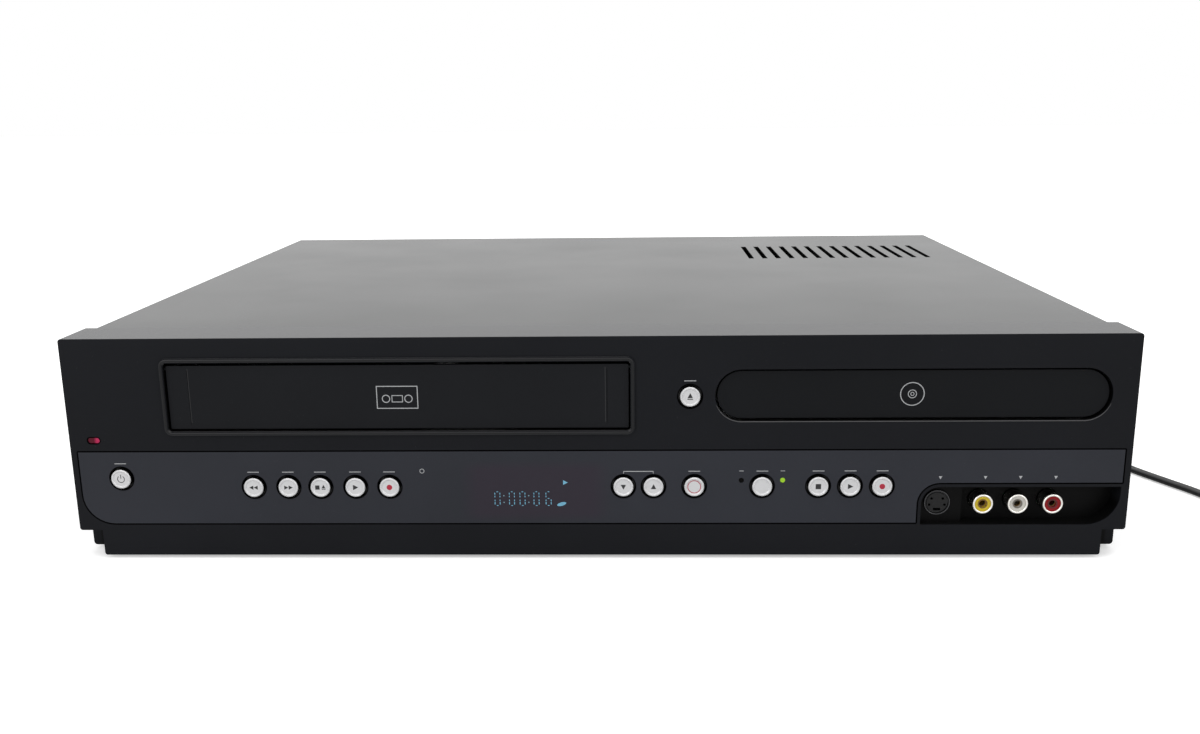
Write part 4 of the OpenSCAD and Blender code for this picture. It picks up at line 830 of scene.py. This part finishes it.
for name, outlines in SYMBOLS.items():
    node, ink = name + "_button", ink_red if "record" in name else dark_ink_and_shade
    part(name + "_symbol", [plate(o, dish_of(node)) for o in outlines], ink, node)
power_dish = dish_of("power_button")
part("power_symbol", [ring(1.3, 1.58, power_dish, arc=(125, 415), n=40),
                      bar(-0.14, 0.14, 0.2, 1.95, power_dish)],
     ink_grey, "power_button")
part("dubbing_symbol", [ring(2.5, 2.78, dish_of("dubbing_button"))], ink_red,
     "dubbing_button")
print("symbols:", len(SYMBOLS) + 2)

# %% [markdown]
# A cap is lacquered, but its edge is bright where the light meets the rounded rim. A narrow
# O-ring on each rim gives that highlight. The well's own edge is unlit, so a thin dark ring of
# painted shade lies round each.

# %% Button rims
# painted shade: a dark ring round each well
part("well_shadow_rings", [ring(4.9, 5.3, at(*on_front(n)), 0.02) for n in buttons], shadow)
rim_bright = lacquer("rim_bright", (0.7, 0.7, 0.71), 0.26)
for node in buttons:
    rim = hoop(round_loop(3.6, -0.08, 0.2, 0.6), dish_of(node, 0))
    part(node.replace("_button", "_rim"), [rim], rim_bright, node, smooth=True)
print("rims:", len(buttons))

# %% [markdown]
# ## Printed marks
# Fine pale ink marks say where to look: a short line over most buttons, a cassette outline on
# the tape door and a disc outline on the tray. They are simple drawings that any player could
# carry.

# %% Printed marks
def outline_box(x, z, w, h, t, depth):
    """Four thin bars round a rectangle of w by h."""
    x0, x1, z0, z1 = x - w / 2, x + w / 2, z - h / 2, z + h / 2
    return [line(x0, x1, z1 - t, z1, depth), line(x0, x1, z0, z0 + t, depth),
            line(x0, x0 + t, z0 + t, z1 - t, depth), line(x1 - t, x1, z0 + t, z1 - t, depth)]


socket_x, jack_xs = 141.0, [159.2, 173.4, 187.6]
marks = [line(x - 2.4, x + 2.4, z + 6.3, z + 6.6)
         for x, z in (on_front(n) for n in buttons if not n.startswith("channel"))]
marks.append(line(11.6, 24.0, 36.4, 36.7))
marks += [line(x, x + 0.25, 35.6, 36.5) for x in (11.6, 23.75)]
marks += [line(x - 0.9, x + 0.9, 36.5, 36.75) for x in (60, 76.9)]
marks.append(ring(0.75, 1.0, at(-71.5, 36.9)))
marks += [plate(triangle(x, 33.6, 0.75, "down"), at(0, 0))
          for x in (socket_x, *jack_xs)]
part("strip_marks", marks, ink_pale)

mark_x, door_front, tray_front_depth = -80.3, 0.8, 1.5
door_mark = outline_box(mark_x, 68.2, 17, 9.6, 0.35, door_front)
door_mark += [ring(1.35, 1.7, at(mark_x + s, 67.6, door_front)) for s in (-4.6, 4.6)]
door_mark += outline_box(mark_x, 67.6, 4.6, 3.0, 0.3, door_front)
part("tape_door_mark", door_mark, ink_pale, "cassette_door")
tray_at = at(tray_x, tray_z, tray_front_depth)
tray_mark = [ring(r, r + wide, tray_at, n=n)
             for r, wide, n in ((4.55, 0.35, 48), (1.5, 0.3, 48), (0.55, 0.25, 32))]
part("tray_mark", tray_mark, ink_pale, "disc_tray")
print("marks on the strip:", len(marks))

# %% [markdown]
# ## Display
# Behind the smoked strip sits a fluorescent display. Lit, it shows through as pale blue dashes.
# Each digit is built from short upright dashes, four to a side, with level ones at the top, the
# middle and the bottom. A dictionary says which dashes a digit lights.

# %% Display digits
lit_blue = glossy("lit_blue", (0.11, 0.3, 0.42), 0.4, 0.36)
lit_pale = glossy("lit_pale", (0.14, 0.25, 0.3), 0.4, 0.25)
DASHES = {key: (0, z, 0.75, 0.3) for key, z in (("a", 3.0), ("g", 0.1), ("d", -3.0))}
for pair, z, h in (("fb", 2.2, 0.85), ("FB", 0.95, 0.75), ("ec", -0.75, 0.75), ("EC", -2, 1.15)):
    DASHES |= {key: (x, z, 0.34, h) for key, x in zip(pair, (-1.05, 1.05))}
DIGITS = {"0": "adfFbBeEcC", "6": "adgfFeEcC"}


def dash(x, z, w, h):
    """A dash with round ends: a superellipse |x|^4 + |z|^4 = 1 scaled to w by h."""
    corner = np.stack(rounded(angles(12), 0.5), axis=1)
    return plate(corner * (w / 2, h / 2) + (x, z), at(0, 0))


digit_x, digit_z = [-40.6, -34.6, -30.2, -24.4, -19.4], 24.8
digits = [dash(x + dx, digit_z + dz, w, h) for x, number in zip(digit_x, "00006")
          for dx, dz, w, h in (DASHES[k] for k in DIGITS[number])]
dots = [dash(x, digit_z + dz, 0.5, 0.5) for x in (-37.9, -27.6) for dz in (-1.6, 1.3)]
part("display_digits", digits, lit_blue)
part("display_dots", dots, lit_pale)
tip = np.radians(16)
tilt = np.array([[np.cos(tip), np.sin(tip)], [-np.sin(tip), np.cos(tip)]])
icons = [disc(1.0) * (1.95, 0.75) @ tilt + (-14.0, 22.4), triangle(-12.4, 31.8, 1.05, "right")]
part("display_icons", [plate(o, at(0, 0)) for o in icons], lit_blue)
print("dashes lit:", len(digits))

# %% [markdown]
# ## Front jacks
# A phono jack is a nickel barrel with a coloured insert and a sprung contact in its hole; the
# contact's brass is darkened, painted shade deep in the hole, and a ring in a darker copy of the
# insert's colour paints the shade in its throat. The barrel's edge is rolled, so each gets a
# rounded lip, in a paler metal than the nickel: a painted highlight. The round video socket
# beside them has a thin metal ring and, in its groove, the rim of its shield.

# %% Front jacks
jack_z = on_front("jack_shells")[1]
jack_tip, socket_tip = 1.0, 3.0
# painted highlight: the rolled lips are a paler metal than the barrels' nickel
lip_bright = polished("lip_bright", (0.93, 0.91, 0.86), 0.2)
part("jack_lips", [hoop(round_loop(3.7, -0.02, 0.44, 0.8), at(x, jack_z, jack_tip))
                   for x in jack_xs], lip_bright, smooth=True)
# painted shade: each throat ring is a darker copy of its insert's colour
THROATS = {"yellow": (0.16, 0.08, 0.001), "white": (0.16, 0.145, 0.12), "red": (0.07, 0.001, 0.002)}
for x, (name, throat) in zip(jack_xs, THROATS.items()):
    part("jack_throat_" + name, [ring(1.45, 2.0, at(x, jack_z, jack_tip + 0.32), 0.05, n=40)],
         glossy("throat_" + name, throat, 0.5))
# painted shade: a darkened brass, deep in the hole
contact_brass = polished("contact_brass", (0.3, 0.19, 0.08), 0.35)
contact = [(1.28, -3.2), (1.56, -3.2), (1.56, -1.15), (1.42, -1), (1.28, -1.15)]
part("jack_contacts", [hoop(contact, at(x, jack_z, jack_tip + 0.4), n=32) for x in jack_xs],
     contact_brass, smooth=True)
shield_dark = polished("shield_dark", (0.1, 0.1, 0.105), 0.3)
shield = [(4.3, -3), (4.6, -3), (4.6, -0.6), (4.45, -0.45), (4.3, -0.6)]
for name, loop in (("socket_ring", round_loop(5.12, 0.02, 0.13, 0.7)), ("socket_shield", shield)):
    part(name, [hoop(loop, at(socket_x, jack_z, socket_tip))], shield_dark, smooth=True)
print("front jacks:", len(jack_xs), "at", round(jack_z, 1), "mm")

# %% [markdown]
# ## Rear sockets
# At the back, each barrel in the black block carries a nickel sleeve and a coloured face, and
# the two aerial connectors have a fine thread. A thread is one ridge on a helix: the angle
# grows steadily while the ridge moves back by one pitch a turn.

# %% Rear sockets
rear_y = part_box("rear_panel")[1][1]
barrel = 7.5
REAR = {
    "yellow": [(0.62, 0.42, 0.01), (-78, 30), (-78, 46)],
    "white": [(0.62, 0.6, 0.55), (-64, 30), (-64, 46)],
    "red": [(0.42, 0.006, 0.012), (-50, 30), (-50, 46), (4, 30)],
    "green": [(0.01, 0.2, 0.03), (-24, 30)],
    "blue": [(0.012, 0.03, 0.3), (-10, 30)],
    "orange": [(0.55, 0.12, 0.005), (-24, 46)],
}


def behind(x, z, out=0.0):
    """A place on the rear panel, out millimetres behind it."""
    return np.array([x * MM, rear_y + out * MM, low_z + z * MM])


sleeve = [(3.45, 0.02), (4.2, 0.02), (4.2, barrel - 0.1), (4.0, barrel + 0.12),
          (3.6, barrel + 0.12), (3.45, barrel - 0.1)]
spots = [spot for _, *places in REAR.values() for spot in places]
part("rear_sleeves", [hoop(sleeve, behind(*s), "back", 40) for s in spots], nickel,
     smooth=True)
for name, (tint, *places) in REAR.items():
    rings = [ring(1.6, 3.45, behind(*p, barrel), 0.08, "back", 40) for p in places]
    part("rear_face_" + name, rings, glossy("face_" + name, tint, 0.3))


def thread(x, z, radius=4.78, pitch_mm=1.0, turns=7, n=36):
    """Ridge corners (radius, along) moved back by pitch * angle / 2 pi."""
    a = np.linspace(0, 2 * np.pi * turns, n * turns)[:, None]
    fade = np.clip(np.minimum(a, a[-1] - a) / np.pi, 0, 1)
    r = np.array([radius - 0.15, radius + 0.17, radius - 0.15]) * np.ones_like(a)
    r[:, 1] -= 0.25 * (1 - fade[:, 0])
    h = np.array([0.0, 0.45, 0.9]) + 0.7 + pitch_mm * a / (2 * np.pi)
    return polar(r, a, h, behind(x, z), "back"), tube_faces(len(a), 3)


aerial_x, aerial_zs = -160, (30, 54)
part("aerial_threads", [thread(aerial_x, z) for z in aerial_zs], nickel, smooth=True)
insulator = glossy("insulator", (0.6, 0.6, 0.56), 0.4)
part("aerial_insulators", [ring(0.5, 2.6, behind(aerial_x, z, 5.8), 0.4, "back", 32)
                           for z in aerial_zs], insulator)
print("rear sockets:", len(spots))

# %% [markdown]
# ## Screws
# Black pan-head screws hold the rear panel and the fan. A screw head is a lathe: a dome that
# flattens towards the middle. Its cross is a pair of dark bars, painted shade for the recess,
# sunk a little in the dome.

# %% Screws
def dome(r, h, n=8, upright=0.82):
    """Profile r cos t, h sin t of a quarter ellipse, from the rim to a small flat top."""
    t = np.linspace(0, np.pi / 2 * upright, n)
    return [(r, 0), *np.stack([r * np.cos(t), 0.25 + h * np.sin(t)], axis=1)]


screws = [(x, 86.5) for x in (-207, -95, 20, 207)] + [(x, 8.5) for x in (-207, 0, 207)]
fan_x, fan_z, fan_hole = 118, 52, 16
screws += [(fan_x + sx, fan_z + sz) for sx in (-fan_hole, fan_hole) for sz in (-fan_hole, fan_hole)]
part("rear_screws", [lathe(dome(2.9, 1.2), behind(*s), "back", 32) for s in screws], screw_steel,
     smooth=True)
# painted shade: dark bars stand for the recess of each cross
crosses = [bar(-w, w, -h, h, behind(*s, 1.38), 0.06, "back") for s in screws
           for w, h in ((1.3, 0.25), (0.25, 1.3))]
part("rear_screw_crosses", crosses, dark_ink_and_shade)
print("screws:", len(screws))

# %% [markdown]
# ## Strain relief and plug
# Where the lead leaves the cabinet, ribs round the tapered relief let it bend gently. The plug
# at the far end is a soft moulding: level sections along its length blend a round neck into a
# flat body. Each section is a superellipse, |x/w|^e + |z/h|^e = 1, and the exponent grows from
# 2, a circle, to 5, a rounded rectangle.

# %% Strain relief and plug
relief_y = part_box("cord_bushing")[1][1] / MM
ribs = [hoop(round_loop(3.05 + (relief_y - y) * 0.056, 0, 0.65, 0.9),
             (0.190, y * MM, low_z + 0.024), "back", 40)
        for y in np.arange(relief_y - 17, relief_y - 2, 3.2)]
part("relief_ribs", ribs, rubber, smooth=True)
SECTIONS = np.array([
    # y back from the neck, half width, half height, exponent
    [0.0, 3.1, 2.9, 2.0], [2.0, 3.3, 3.0, 2.0], [2.8, 3.9, 3.6, 2.0], [4.0, 3.9, 3.6, 2.0],
    [4.8, 3.5, 3.2, 2.0], [6.0, 4.2, 3.9, 2.0], [7.2, 4.2, 3.9, 2.0], [8.0, 3.9, 3.6, 2.0],
    [10.0, 4.6, 4.3, 2.2], [12.0, 6.6, 5.2, 2.6], [15.0, 9.0, 5.7, 3.4], [19.0, 10.4, 5.85, 4.4],
    [24.0, 10.9, 5.85, 5.0], [31.0, 10.9, 5.85, 5.0], [35.6, 10.7, 5.75, 5.0],
    [36.8, 10.1, 5.3, 4.6], [37.0, 8.5, 4.2, 4.0],
])


def plug_body(n=40):
    """Section points (w cos a, h sin a), both raised to 2/e, at each distance y."""
    y, w, h, e = (SECTIONS[:, k][:, None] for k in range(4))
    across, high = rounded(angles(n), 2 / e)
    points = np.stack([w * across, 0 * across - y, h * high], axis=2) + plug_at
    return points * MM, [f[::-1] for f in tube_faces(len(SECTIONS), n)]


BLADE = [(-37.0, 3.1), (-51.5, 3.1), (-53.0, 1.6), (-53.0, -1.6), (-51.5, -3.1), (-37.0, -3.1)]
blade_x, blade_thick = 6.35, 1.5
plug = part("mains_plug", [plug_body()], vinyl, smooth=True)
brass = polished("brass", (0.76, 0.6, 0.3), 0.22)
blades = part("plug_blades", [plate(BLADE, (plug_at + (x - blade_thick / 2, 0, 0)) * MM,
                                    blade_thick, "right") for x in (-blade_x, blade_x)],
              brass)
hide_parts("cord_plug")
print("plug", round(float(SECTIONS[-1, 0])), "mm long without its blades")

# %% [markdown]
# ## Stage and light
# A wide pale floor carries the player's soft shadow, and a big soft light above, one from the
# left front and one from the right give even studio light. The background is pure white: the
# world shows white to the camera, to reflections and through glass, but lights the object less.

# %% Floor, lights and world
def floor(half=6):
    """One quad at table height; its material shows white to the camera beyond the shadow."""
    pale = Finish("floor_pale", (0.9, 0.9, 0.9), 0.8, Emission_Color=(1, 1, 1, 1))
    distance = pale.node("VectorMath", Vector=pale.place)
    distance.operation = "LENGTH"
    fade = pale.between(distance.outputs["Value"], 0.42, 1.0, 0.2, 1.1)
    seen = pale.node("LightPath").outputs["Is Camera Ray"]
    pale.set(Emission_Strength=pale.both(seen, fade))
    corners = np.c_[rectangle(-half, half, -half, half), np.zeros(4)]
    made = solid("floor", [(corners, [(0, 1, 2, 3)])], pale)


def softbox(name, place, target, size, power):
    """A rectangular area light that faces its target."""
    light = bpy.data.lights.new(name, "AREA")
    light.shape = "RECTANGLE"
    light.size, light.size_y = size
    light.energy = power
    away = np.subtract(place, target)
    away /= np.linalg.norm(away)
    side = np.cross([0, 0, 1], away)
    side /= np.linalg.norm(side)
    placed(name, light, place, side, np.cross(away, side), away)


def white_world(light_level):
    """Strength is 1 for camera, glossy and transmission rays, and light_level for the rest."""
    world = bpy.data.worlds.new("studio")
    world.use_nodes = True
    sky = Nodes(world.node_tree)
    rays = sky.node("LightPath").outputs
    seen = sky.maths("MAXIMUM", rays["Is Camera Ray"], rays["Is Glossy Ray"])
    seen = sky.maths("MAXIMUM", seen, rays["Is Transmission Ray"])
    strength = sky.between(seen, light_level, 1.0)
    sky.feed(world.node_tree.nodes["Background"], Color=(1, 1, 1, 1), Strength=strength)
    bpy.context.scene.world = world


floor()
white_world(0.45)
softbox("top_light", (0, -0.3, 1.6), (0, 0, 0), (1.8, 1.4), 14)
softbox("left_light", (-1.3, -1.3, 1.0), (0, 0, 0.05), (0.9, 0.9), 8)
softbox("right_light", (1.4, -1.1, 0.9), (0, 0, 0.05), (0.9, 0.9), 5)
bpy.context.scene.view_settings.view_transform = "Standard"
